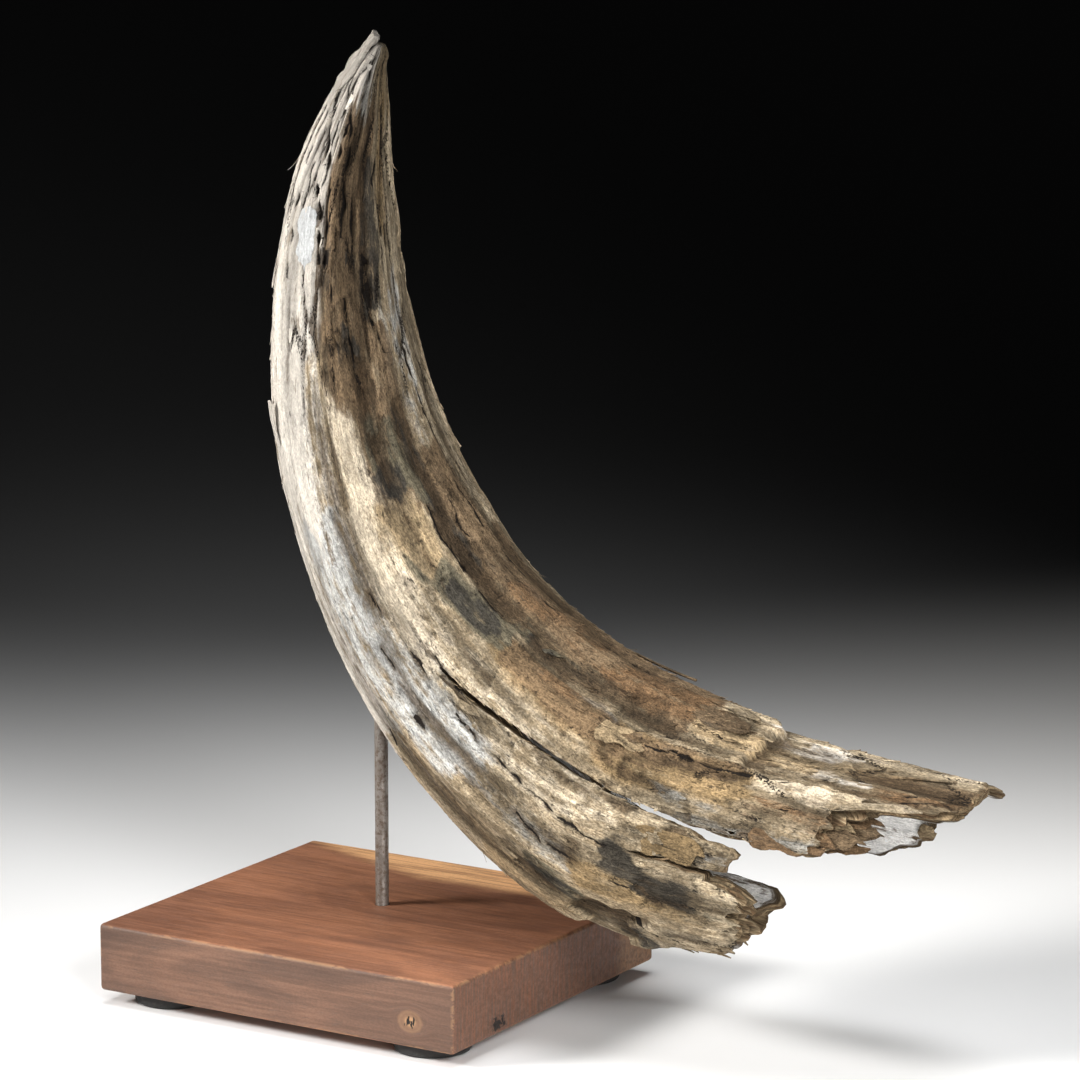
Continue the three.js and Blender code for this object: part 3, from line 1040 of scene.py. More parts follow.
def build_horn_mesh(settings):
    rows = np.linspace(0, STOCK_LENGTH, settings.rows)
    columns = horn_columns(settings)
    along = np.repeat(rows, len(columns))
    around = np.tile(columns, len(rows))
    stands = np.where(along < BREAK_START, UNBROKEN, kept(along, around, settings.seed + 500))
    stands = connected(stands, len(rows), len(columns))
    along, around, faces, face_rows, breaks = clipped_grid(rows, columns, stands)
    inset, values = outer_inset(along, around, settings)
    blunt = 1.5 * np.exp(-((along - 4) / 4) ** 2)
    radius = np.maximum(HORN.radius(along) + blunt - inset, 0.35)
    outer = HORN.point(along + TIP_LOSS * np.clip(1 - along / 22, 0, 1) ** 1.5, around, radius)
    values.update(surface_values(along, around))
    # Hollows of the weathered surface, which the material paints with dirt and painted shade
    values["groove"] = hollows(inset, len(rows), len(columns))
    edge = np.zeros(len(along))
    edge[np.unique(np.array(breaks))] = 1
    off_ends = smoothstep(*FRAYED_BEFORE_END, along) * smoothstep(*FRAYED_PAST_TIP, along)
    values["fray"] = np.maximum(0.6 * edge, values["fray"]) * off_ends

    horn = HornMesh()
    tip_row = len(columns)
    outer_faces = [tidy_face([0 if k < tip_row else k for k in face]) for face in faces]
    horn.add(outer, [face for face in outer_faces if face], **values)

    # The hollow shares the outside's grid and meets it along the break
    start_row = int(np.searchsorted(rows, HOLLOW_WALLS[0][0]))
    pole = start_row * len(columns)
    inner_faces = []
    for face, row in zip(faces, face_rows):
        if row >= start_row:
            clean = tidy_face([pole if k < pole + len(columns) else k for k in face[::-1]])
            if clean:
                inner_faces.append(clean)
    rough = layered_noise(fibre_place(along, around, 6, 8), settings.seed + 600, 3)
    rough *= 0.7 * smoothstep(*HOLLOW_ROUGH_ALONG, along)
    inner_radius = HORN.radius(along) - wall_thickness(along) + rough
    inner_radius = np.where(along < rows[start_row] + 0.1, 0, np.maximum(inner_radius, 0.3))
    inner_radius = np.minimum(inner_radius, radius - 1.2)
    inner_radius = np.maximum(inner_radius, 0)
    inner_values = surface_values(along, around)
    inner_values["hollow"] = np.ones(len(along))
    inner_values["chalk"] = smoothstep(*LINING_FROM_EDGE, wall_stands(along, around))
    inner_first = horn.add(HORN.point(along, around, inner_radius), inner_faces, **inner_values)

    # The broken wall shows its layers as ragged steps, with painted shade in the gaps between them
    ends = np.unique(np.array(breaks))
    index_of = {point: k for k, point in enumerate(ends)}
    previous = {point: point for point in ends}
    end_along, end_around = along[ends], around[ends]
    out_along, out_around = break_way(end_along, end_around)
    mouth = smoothstep(*MOUTH_ALONG, end_along) * (0.25 + 0.75 * np.abs(out_along))
    rim_values = surface_values(end_along, end_around)
    for layer in range(1, RIM_LAYERS):
        place = fibre_place(end_along, end_around, 7, 2)
        ragged = layered_noise(place, settings.seed + 700 + 10 * layer, 3)
        jut = mouth * (3.5 * layer / RIM_LAYERS + 5.0 * ragged) + 0.4 * ragged
        for share in ((layer - 0.1) / RIM_LAYERS, (layer + 0.75) / RIM_LAYERS):
            layer_radius = radius[ends] + share * (inner_radius[ends] - radius[ends])
            point = HORN.point(end_along + jut * out_along, end_around + 0.6 * jut * out_around, layer_radius)
            point[:, 0] = np.minimum(point[:, 0], HORN_REACH + 1.5)
            # Painted shade: the deeper side of each step counts as a groove, so the material darkens it like
            # a gap between layers
            groove = np.full(len(ends), 0.7 if share > layer / RIM_LAYERS else -0.3)
            depth = GIRTH - 2.2 * (radius[ends] - layer_radius)
            turn = np.radians(end_around)
            rim_values["fibre"] = np.column_stack([depth * np.cos(turn), depth * np.sin(turn), end_along])
            first = horn.add(point, [], **rim_values, rim=np.ones(len(ends)), groove=groove)
            current = {end: first + index_of[end] for end in ends}
            for a, b in breaks:
                horn.faces.append([previous[b], previous[a], current[a], current[b]])
            previous = current
    for a, b in breaks:
        horn.faces.append([previous[b], previous[a], inner_first + a, inner_first + b])

    for number, (half_width, thickness, stations) in enumerate(SLIVERS):
        point, sliver_faces, sliver_along, sliver_around = sliver_mesh(
            half_width, thickness, stations, settings, settings.seed + number)
        horn.add(point, sliver_faces, **surface_values(sliver_along, sliver_around))
    for number, (lift_start, lift_end, thickness, tone, patch) in enumerate(PLATES):
        point, plate_faces, plate_along, plate_around = plate_mesh(
            lift_start, lift_end, thickness, patch, settings, settings.seed + 40 + number)
        plate_values = surface_values(plate_along, plate_around)
        if tone:
            plate_values.update({other: np.zeros(len(point)) for other in TONES})
            plate_values[tone] = np.ones(len(point))
        horn.add(point, plate_faces, **plate_values)
    return horn.mesh("horn_sheath")


def face_outwards(mesh):
    """Drops points that no face uses and turns the mesh right side out."""
    work = bmesh.new()
    work.from_mesh(mesh)
    loose = [point for point in work.verts if not point.link_faces]
    bmesh.ops.delete(work, geom=loose, context="VERTS")
    bmesh.ops.recalc_face_normals(work, faces=work.faces)
    work.to_mesh(mesh)
    work.free()


# Materials


class Graph:
    """A node tree with short calls that add a node and return its output."""

    def __init__(self, tree):
        self.tree = tree

    def add(self, kind, inputs=None, **settings):
        node = self.tree.nodes.new(kind)
        for name, value in settings.items():
            setattr(node, name, value)
        for key, value in (inputs or {}).items():
            self.feed(node.inputs[key], value)
        return node

    def feed(self, socket, value):
        if isinstance(value, bpy.types.NodeSocket):
            self.tree.links.new(value, socket)
        else:
            socket.default_value = value

    def math(self, operation, first, second=0.0):
        return self.add("ShaderNodeMath", {0: first, 1: second}, operation=operation).outputs[0]

    def times(self, first, second):
        return self.math("MULTIPLY", first, second)

    def plus(self, first, second):
        return self.math("ADD", first, second)

    def minus(self, first, second):
        return self.math("SUBTRACT", first, second)

    def over(self, first, second):
        return self.math("DIVIDE", first, second)

    def most(self, first, second):
        return self.math("MAXIMUM", first, second)

    def least(self, first, second):
        return self.math("MINIMUM", first, second)

    def size(self, value):
        return self.math("ABSOLUTE", value)

    def scaled(self, vector, factors):
        return self.add("ShaderNodeVectorMath", {0: vector, 1: factors}, operation="MULTIPLY").outputs[0]

    def mix(self, factor, first, second, blend="MIX"):
        node = self.add("ShaderNodeMix", data_type="RGBA", blend_type=blend)
        self.feed(node.inputs[0], factor)
        self.feed(node.inputs[6], first)
        self.feed(node.inputs[7], second)
        return node.outputs[2]

    def step(self, value, low, high, to_low=0.0, to_high=1.0):
        inputs = {0: value, 1: low, 2: high, 3: to_low, 4: to_high}
        return self.add("ShaderNodeMapRange", inputs, interpolation_type="SMOOTHSTEP").outputs[0]

    def noise(self, vector, scale, detail=3.0, roughness=0.55, distortion=0.0):
        inputs = {"Vector": vector, "Scale": scale, "Detail": detail,
                  "Roughness": roughness, "Distortion": distortion}
        return self.add("ShaderNodeTexNoise", inputs).outputs[0]

    def parts(self, vector):
        return self.add("ShaderNodeSeparateXYZ", {0: vector}).outputs

    def shaded(self, colours, shade):
        """The colours made darker or paler by a value."""
        tint = self.add("ShaderNodeCombineColor", {0: shade, 1: shade, 2: shade}).outputs[0]
        return self.mix(1.0, colours, tint, "MULTIPLY")

    def millimetres(self):
        """Object coordinates in millimetres."""
        return self.scaled(self.add("ShaderNodeTexCoord").outputs["Object"], (1 / MM, 1 / MM, 1 / MM))

    def fibres(self, tree, place, width):
        """The shared fibres at a width: streaks, mottling and grains."""
        return self.add("ShaderNodeGroup", {"Place": place, "Width": width}, node_tree=tree).outputs

    def attribute(self, name):
        return self.add("ShaderNodeAttribute", attribute_name=name)

    def value(self, name):
        return self.attribute(name).outputs["Fac"]


def colour(values):
    return (*values, 1.0)


def new_group(name, inputs, outputs):
    """An empty shader group with named sockets, as its graph, its inputs and its output node."""
    tree = bpy.data.node_groups.new(name, "ShaderNodeTree")
    for label, kind, default in inputs:
        socket = tree.interface.new_socket(label, in_out="INPUT", socket_type=kind)
        if default is not None:
            socket.default_value = default
    for label, kind in outputs:
        tree.interface.new_socket(label, in_out="OUTPUT", socket_type=kind)
    graph = Graph(tree)
    return graph, graph.add("NodeGroupInput").outputs, graph.add("NodeGroupOutput").inputs


def fibre_group():
    """Streaks, mottling and grains that are drawn out along the Z of the coordinates given."""
    graph, given, result = new_group(
        "Drawn-out fibres",
        [("Place", "NodeSocketVector", None), ("Width", "NodeSocketFloat", 1.0)],
        [("Streaks", "NodeSocketFloat"), ("Mottle", "NodeSocketFloat"), ("Grains", "NodeSocketFloat")])
    scale = graph.over(1.0, given["Width"])
    long_place = graph.scaled(given["Place"], (1, 1, 0.045))
    short_place = graph.scaled(given["Place"], (1, 1, 0.34))
    grain_place = graph.scaled(given["Place"], (1, 1, 0.5))
    noises = {"Streaks": graph.noise(long_place, graph.times(scale, 0.55), 4.0, 0.62),
              "Mottle": graph.noise(short_place, graph.times(scale, 0.32), 5.0, 0.66, 0.4),
              "Grains": graph.noise(grain_place, graph.times(scale, 1.5), 2.0, 0.6)}
    for label, noise in noises.items():
        graph.feed(result[label], graph.step(noise, 0.28, 0.72))
    return graph.tree


def principled(name):
    material = bpy.data.materials.new(name)
    material.use_nodes = True
    graph = Graph(material.node_tree)
    return material, graph, material.node_tree.nodes["Principled BSDF"]


def bump(graph, shader, height, strength, distance):
    inputs = {"Strength": strength, "Distance": distance, "Height": height}
    graph.feed(shader.inputs["Normal"], graph.add("ShaderNodeBump", inputs).outputs[0])


def horn_material(settings, fibres):
    material, graph, shader = principled("weathered_horn")
    place = graph.attribute("fibre").outputs["Vector"]
    streaks, mottle, specks = graph.fibres(fibres, place, BROAD_FIBRE)
    fine_streaks, fine_mottle, grains = graph.fibres(fibres, place, FINE_FIBRE)

    blotches = graph.plus(graph.times(streaks, 0.6), graph.times(mottle, 0.4))
    wander = graph.minus(blotches, 0.5)
    wander = graph.plus(wander, graph.times(graph.minus(fine_mottle, 0.5), 0.5))
    base = graph.plus(blotches, graph.times(graph.minus(fine_mottle, 0.5), 0.6))
    surface = graph.mix(
        graph.step(base, 0.15, 0.75), colour(settings.dark_beige), colour(settings.light_beige))
    for tone in TONES:
        unrest, strength = (0.15, 1.0) if tone == "chalk" else (0.9, 0.92)
        amount = graph.plus(graph.value(tone), graph.times(wander, unrest))
        share = graph.step(amount, 0.25, 0.9, 0.0, strength)
        surface = graph.mix(share, surface, colour(getattr(settings, tone)))

    # The inside of the sheath and the broken edges. Inside, white near the broken edges turns to brown
    # further in, as stain and painted shade.
    inner_stain_and_shade = graph.mix(graph.step(fine_mottle, 0.2, 0.8), colour(settings.brown), colour(settings.tan))
    bleached = graph.plus(graph.value("chalk"), graph.times(wander, 1.7))
    lining = graph.mix(graph.step(bleached, 0.35, 0.95), inner_stain_and_shade, colour(settings.lining))
    surface = graph.mix(graph.value("hollow"), surface, lining)
    edge = graph.mix(graph.step(fine_mottle, 0.2, 0.65), colour(settings.rust), colour(settings.ochre))
    surface = graph.mix(graph.times(graph.value("rim"), 0.85), surface, edge)

    # Plates and flakes differ a little, grooves hold dirt and painted shade, and ridges are rubbed pale
    groove = graph.value("groove")
    # Painted shade and dirt: the surface turns brown in the grooves
    groove_dirt_and_shade = graph.plus(groove, graph.times(wander, 0.6))
    surface = graph.mix(graph.step(groove_dirt_and_shade, 0.3, 1.0, 0.0, 0.7), surface, colour(settings.brown))
    strip_edge, strip, strip_height = graph.parts(graph.attribute("strip").outputs["Vector"])
    flake_edge, flake, flake_height = graph.parts(graph.attribute("flake").outputs["Vector"])
    shade = graph.plus(graph.times(strip, graph.minus(strip_height, 0.5)),
                       graph.times(flake, graph.minus(flake_height, 0.5)))
    shade = graph.step(shade, -0.6, 0.6, 0.8, 1.2)
    for noise, low, high, darkest, palest in (
            (fine_streaks, 0.0, 1.0, 0.82, 1.13), (mottle, 0.1, 0.9, 0.78, 1.16),
            (grains, 0.0, 1.0, 0.66, 1.24), (specks, 0.0, 1.0, 0.8, 1.12)):
        shade = graph.times(shade, graph.step(noise, low, high, darkest, palest))
    pale = graph.value("ivory")
    for tone, share in (("grey", 0.7), ("cream", 0.6), ("chalk", 0.9)):
        pale = graph.most(pale, graph.times(graph.value(tone), share))
    calm = graph.step(pale, 0.2, 1.3, 1.0, 0.3)
    shade = graph.plus(graph.times(graph.minus(shade, 1.0), calm), 1.0)
    # Painted shade: darker in the grooves, paler on the ridges
    shade = graph.times(shade, graph.step(groove, -0.7, 0.7, 1.25, 0.62))
    surface = graph.shaded(surface, shade)

    # Pits, hairlines along the streaks, the edges of plates and ledges, and the larger cracks, painted in the
    # crack colour as dirt and painted shade
    jitter = graph.minus(graph.plus(graph.times(grains, 0.6), graph.times(fine_mottle, 0.4)), 0.5)
    pits = graph.times(graph.step(specks, 0.1, 0.02), graph.step(mottle, 0.45, 0.8, 0.1, 0.7))
    ridge = graph.size(graph.minus(streaks, 0.5))
    hairline = graph.times(graph.step(ridge, 0.03, 0.008), graph.step(fine_mottle, 0.45, 0.8))
    opened = graph.most(pits, graph.times(hairline, 0.6))
    lines = []
    for edge_away, amount, patches, width, strength in (
            (strip_edge, strip, streaks, 0.34, 0.95), (flake_edge, flake, fine_mottle, 0.2, 0.5)):
        away = graph.plus(edge_away, graph.times(jitter, 1.3))
        line = graph.times(graph.step(away, width, 0.3 * width), graph.step(amount, 0.15, 0.6))
        lines.append(graph.times(line, graph.step(patches, 0.34, 0.6, 0.0, strength)))
    strip_line, flake_line = lines
    opened = graph.times(graph.most(opened, flake_line), calm)
    opened = graph.most(opened, strip_line)
    # Painted shadow: a dark line along the low side of each ledge
    ledge = graph.plus(graph.value("ledge"), graph.times(jitter, 2.2))
    foot = graph.times(graph.step(graph.size(graph.plus(ledge, 0.5)), 0.7, 0.1),
                       graph.step(mottle, 0.35, 0.7, 0.0, 0.45))
    opened = graph.most(opened, foot)
    for name in CRACK_NAMES:
        split = graph.parts(graph.attribute(name).outputs["Vector"])
        gap = graph.size(graph.plus(split[0], graph.times(jitter, 0.7)))
        line = graph.times(graph.step(graph.minus(gap, split[1]), 0.22, -0.22),
                           graph.step(split[1], 0.04, 0.25))
        opened = graph.most(opened, line)
    # The openings take the crack colour: dirt and painted shade
    surface = graph.mix(opened, surface, colour(settings.crack))

    graph.feed(shader.inputs["Base Color"], surface)
    graph.feed(shader.inputs["Roughness"], graph.step(mottle, 0.0, 1.0, 0.75, 0.95))
    shader.inputs["Specular IOR Level"].default_value = 0.12
    height = graph.times(fine_streaks, 0.5)
    for noise, share in ((grains, 0.55), (fine_mottle, 0.4), (specks, 0.4)):
        height = graph.plus(height, graph.times(noise, share))
    height = graph.minus(height, opened)
    bump(graph, shader, height, 1.0, 0.55 * MM)
    return material


def walnut_material(settings, fibres):
    material, graph, shader = principled("walnut")
    low, high = (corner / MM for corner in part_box("base_block"))
    place = graph.millimetres()
    x, y, z = graph.parts(place)
    facing = graph.parts(graph.add("ShaderNodeNewGeometry").outputs["Normal"])
    end = graph.step(graph.size(facing[0]), 0.5, 0.9)
    front = graph.step(graph.size(facing[1]), 0.5, 0.9)

    # The grain parts round a small knot low on the front
    knot_x, knot_z = KNOT
    off_x = graph.minus(x, knot_x)
    off_z = graph.minus(z, knot_z)
    from_knot = graph.add("ShaderNodeCombineXYZ", {0: off_x, 1: graph.times(off_z, 1.25)}).outputs[0]
    reach = graph.add("ShaderNodeVectorMath", {0: from_knot}, operation="LENGTH").outputs["Value"]
    near_knot = graph.times(graph.step(reach, 11.0, 2.0), front)
    parted = graph.minus(z, graph.times(off_z, graph.times(near_knot, 0.85)))
    grain_place = graph.add("ShaderNodeCombineXYZ", {0: y, 1: parted, 2: x}).outputs[0]
    streaks, mottle, grains = graph.fibres(fibres, grain_place, 0.9)
    clouds = graph.noise(graph.scaled(grain_place, (1, 1, 0.35)), 0.045, 4.0, 0.6, 0.5)

    wood = graph.mix(
        graph.step(clouds, 0.32, 0.66), colour(settings.walnut_dark), colour(settings.walnut_light))
    dull = graph.mix(graph.step(clouds, 0.3, 0.7), colour(settings.walnut_end), colour(settings.walnut_front))
    # Painted shade: the front and back darken towards the right end
    shade = graph.step(x, high.x - 90, high.x, 0.0, 0.8)
    dull = graph.mix(shade, dull, colour(settings.walnut_end))
    wood = graph.mix(graph.times(front, 0.85), wood, dull)
    saw = graph.noise(graph.scaled(place, (0, 1.6, 0.05)), 1.0, 3.0, 0.65)
    end_wood = graph.mix(graph.step(saw, 0.3, 0.7), colour(settings.walnut_dark), colour(settings.walnut_end))
    wood = graph.mix(end, wood, end_wood)

    # Pale sapwood along the back edge
    ragged = graph.times(graph.minus(clouds, 0.5), 14.0)
    slant = graph.most(graph.times(graph.minus(SAPWOOD_X, x), 0.35), 0.0)
    depth = graph.minus(graph.plus(y, ragged), slant)
    strip = graph.times(graph.step(depth, SAPWOOD_Y - 4, SAPWOOD_Y + 7),
                        graph.step(streaks, 0.0, 0.6, 0.55, 1.0))
    strip = graph.times(strip, graph.step(facing[2], 0.3, 0.7, 0.25, 1.0))
    wood = graph.mix(graph.times(strip, 0.9), wood, colour(settings.sapwood))

    # Fine grain, pores and scratches
    shade = graph.times(graph.step(streaks, 0.0, 1.0, 0.84, 1.14), graph.step(grains, 0.0, 1.0, 0.92, 1.08))
    wood = graph.shaded(wood, shade)
    pores = graph.step(graph.noise(graph.scaled(grain_place, (1, 1, 0.08)), 1.9, 1.0, 0.5), 0.35, 0.28)
    pores = graph.times(pores, graph.minus(1.0, end))
    wood = graph.mix(graph.times(pores, 0.45), wood, colour(settings.walnut_end))

    # The knot's rings and cracked heart, and a chip low on the end; the heart and the chip are painted near
    # black as shade in the holes
    rings = graph.step(graph.math("SINE", graph.times(reach, 1.5)), -1.0, 1.0, 0.15, 0.5)
    wood = graph.mix(graph.times(graph.step(reach, 6.0, 2.0), graph.times(rings, front)),
                     wood, colour(settings.sapwood))
    jag = graph.times(graph.minus(grains, 0.5), 3.0)
    heart = graph.times(graph.step(graph.plus(reach, jag), 1.9, 1.3), front)
    chip_y, chip_z = CHIP
    chip_place = graph.add("ShaderNodeCombineXYZ", {0: graph.times(graph.minus(y, chip_y), 0.5),
                                                    1: graph.minus(z, chip_z)}).outputs[0]
    chip_reach = graph.add("ShaderNodeVectorMath", {0: chip_place}, operation="LENGTH").outputs["Value"]
    chip_jag = graph.times(graph.minus(mottle, 0.5), 3.5)
    chip = graph.times(graph.step(graph.plus(chip_reach, chip_jag), 2.4, 1.6), end)
    hole = graph.most(heart, graph.times(chip, graph.step(facing[0], 0.4, 0.6)))
    wood = graph.mix(hole, wood, colour(HOLE_SHADE))

    # Worn edges
    gaps = []
    for k, axis in enumerate((x, y, z)):
        off_middle = graph.size(graph.minus(axis, (high[k] + low[k]) / 2))
        gaps.append(graph.minus((high[k] - low[k]) / 2, off_middle))
    inner = graph.least(graph.most(gaps[0], gaps[1]), gaps[2])
    near = graph.most(graph.least(gaps[0], gaps[1]), inner)
    wear = graph.times(graph.step(near, 1.5, 0.5), graph.step(mottle, 0.35, 0.75))
    wood = graph.mix(graph.times(wear, 0.22), wood, colour(settings.sapwood))

    graph.feed(shader.inputs["Base Color"], wood)
    graph.feed(shader.inputs["Roughness"], graph.step(mottle, 0.0, 1.0, 0.5, 0.68))
    shader.inputs["Specular IOR Level"].default_value = 0.35
    height = graph.minus(graph.times(streaks, 0.5), pores)
    height = graph.plus(height, graph.times(graph.times(end, saw), 1.5))
    height = graph.minus(height, graph.times(hole, 4.0))
    bump(graph, shader, height, 0.5, 0.2 * MM)
    return material


def steel_material(settings, fibres):
    material, graph, shader = principled("dull_steel")
    place = graph.millimetres()
    mottle = graph.fibres(fibres, place, 0.8)["Mottle"]
    spots = graph.step(graph.noise(place, 0.6, 4.0, 0.7), 0.45, 0.62)
    skin = graph.mix(spots, colour(settings.steel), colour(settings.rust))
    skin = graph.mix(graph.step(mottle, 0.2, 0.8, 0.0, 0.35), skin, colour(settings.rust))
    graph.feed(shader.inputs["Base Color"], skin)
    graph.feed(shader.inputs["Metallic"], graph.step(spots, 0.0, 1.0, 0.85, 0.25))
    graph.feed(shader.inputs["Roughness"], graph.step(mottle, 0.0, 1.0, 0.4, 0.65))
    bump(graph, shader, mottle, 0.3, 0.1 * MM)
    return material


def rubber_material(settings):
    material, graph, shader = principled("black_rubber")
    place = graph.millimetres()
    dust = graph.noise(place, 0.5, 4.0, 0.7)
    skin = graph.mix(graph.step(dust, 0.5, 0.75, 0.0, 0.4), colour(settings.rubber), colour(DUST_TINT))
    graph.feed(shader.inputs["Base Color"], skin)
    graph.feed(shader.inputs["Roughness"], graph.step(dust, 0.3, 0.7, 0.6, 0.85))
    bump(graph, shader, graph.noise(place, 2.0, 2.0), 0.3, 0.1 * MM)
    return material


def floor_material(settings):
    material, _, shader = principled("pale_floor")
    shader.inputs["Base Color"].default_value = colour(settings.floor)
    shader.inputs["Roughness"].default_value = 0.8
    shader.inputs["Specular IOR Level"].default_value = 0.2
    return material


def shared_fibres():
    return bpy.data.node_groups.get("Drawn-out fibres") or fibre_group()


# Operators


class SPECIMEN_OT_horn(bpy.types.Operator):
    """Builds the weathered, split horn sheath"""

    bl_idname = "specimen.horn"
    bl_label = "Horn sheath"

    def execute(self, context):
        settings = context.scene.specimen_horn
        mesh = build_horn_mesh(settings)
        face_outwards(mesh)
        mesh.shade_smooth()
        mesh.set_sharp_from_angle(angle=math.radians(60))
        piece = new_object("weathered_horn_sheath", mesh)
        mesh.materials.append(horn_material(settings, shared_fibres()))
        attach(piece, "root")
        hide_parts("horn_sheath")
        return {"FINISHED"}


class SPECIMEN_OT_rod(bpy.types.Operator):
    """Builds the steel rod that carries the horn"""

    bl_idname = "specimen.rod"
    bl_label = "Support rod"

    def execute(self, context):
        settings = context.scene.specimen_stand
        work = bmesh.new()
        radius = (ROD_HIGH.x - ROD_LOW.x) / 2
        rings = 70
        sides = 32
        chamfer = 0.4 * MM
        heights = [ROD_LOW.z, ROD_LOW.z + chamfer]
        heights += [ROD_LOW.z + (ROD_HIGH.z - ROD_LOW.z) * k / rings for k in range(1, rings)]
        heights += [ROD_HIGH.z - chamfer, ROD_HIGH.z]
        turns = np.linspace(0, 2 * np.pi, sides, endpoint=False)
        loops = []
        for number, height in enumerate(heights):
            at_end = number in (0, len(heights) - 1)
            size = radius - (chamfer if at_end else 0)
            place = np.column_stack([np.cos(turns) * 3, np.sin(turns) * 3, 0 * turns + height * 200])
            size = size - 0.03 * MM * (1 + smooth_noise(place, 5))
            loop = [work.verts.new((ROD_X + s * math.cos(t), ROD_Y + s * math.sin(t), height))
                    for s, t in zip(size, turns)]
            loops.append(loop)
        for low, high in zip(loops, loops[1:]):
            for side in range(sides):
                beside = (side + 1) % sides
                work.faces.new((low[side], low[beside], high[beside], high[side]))
        work.faces.new(loops[0][::-1])
        work.faces.new(loops[-1])
        bmesh.ops.recalc_face_normals(work, faces=work.faces)
        mesh = mesh_of(work, "steel_rod")
        mesh.shade_smooth()
        mesh.set_sharp_from_angle(angle=math.radians(40))
        mesh.materials.append(steel_material(settings, shared_fibres()))
        piece = new_object("steel_rod", mesh)
        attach(piece, "root")
        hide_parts("support_rod")
        return {"FINISHED"}


class SPECIMEN_OT_block(bpy.types.Operator):
    """Builds the walnut block, with softened and worn edges and the hole for the rod"""

    bl_idname = "specimen.block"
    bl_label = "Walnut block"

    def execute(self, context):
        settings = context.scene.specimen_stand
        low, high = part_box("base_block")
        work = bmesh.new()
        bmesh.ops.create_cube(work, size=1)
        size = high - low
        middle = (low + high) / 2
        for point in work.verts:
            point.co = Vector(c * s + m for c, s, m in zip(point.co, size, middle))
        bmesh.ops.bevel(work, geom=work.edges[:], offset=settings.block_edge, segments=4, profile=0.5,
                        affect="EDGES", clamp_overlap=True)
        piece = new_object("walnut_block", mesh_of(work, "walnut_block"))
        work = bmesh.new()
        bmesh.ops.create_cone(work, cap_ends=True, segments=48, radius1=BORE_RADIUS, radius2=BORE_RADIUS,
                              depth=2 * (high.z - ROD_LOW.z + BORE_ROOM))
        bmesh.ops.translate(work, vec=(ROD_X, ROD_Y, high.z), verts=work.verts)
        bore = new_object("bore", mesh_of(work, "bore"))
        cut = piece.modifiers.new("Rod hole", "BOOLEAN")
        cut.object = bore
        cut.solver = "EXACT"
        cut.operation = "DIFFERENCE"
        piece = applied(piece, "walnut_block")
        bpy.data.objects.remove(bore)
        piece.data.shade_smooth()
        piece.data.set_sharp_from_angle(angle=math.radians(30))
        piece.data.materials.clear()
        piece.data.materials.append(walnut_material(settings, shared_fibres()))
        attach(piece, "root")
        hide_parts("base_block")
        return {"FINISHED"}


def new_tree(name, sizes, geometry_in=False):
    """An empty Geometry Nodes tree with named inputs, as its sockets, its graph and its inputs."""
    tree = bpy.data.node_groups.new(name, "GeometryNodeTree")
    if geometry_in:
        tree.interface.new_socket("Surface", in_out="INPUT", socket_type="NodeSocketGeometry")
    sockets = {}
    for label, kind in sizes.items():
        sockets[label] = tree.interface.new_socket(label, in_out="INPUT", socket_type=f"NodeSocket{kind}")
    tree.interface.new_socket("Geometry", in_out="OUTPUT", socket_type="NodeSocketGeometry")
    graph = Graph(tree)
    return sockets, graph, graph.add("NodeGroupInput").outputs


def finish_tree(graph, copies, material):
    """Turns the copies into plain geometry with its material, as the tree's result."""
    real = graph.add("GeometryNodeRealizeInstances", {"Geometry": copies}).outputs[0]
    dressed = graph.add("GeometryNodeSetMaterial", {"Geometry": real, "Material": material}).outputs[0]
    graph.feed(graph.add("NodeGroupOutput").inputs[0], dressed)


def grown(name, mesh, graph, sockets, values):
    """The mesh that a tree makes of the given one, on a new object."""
    piece = new_object(f"{name}_source", mesh)
    modifier = piece.modifiers.new(name, "NODES")
    modifier.node_group = graph.tree
    for label, value in values.items():
        modifier[sockets[label].identifier] = value
    return applied(piece, name)


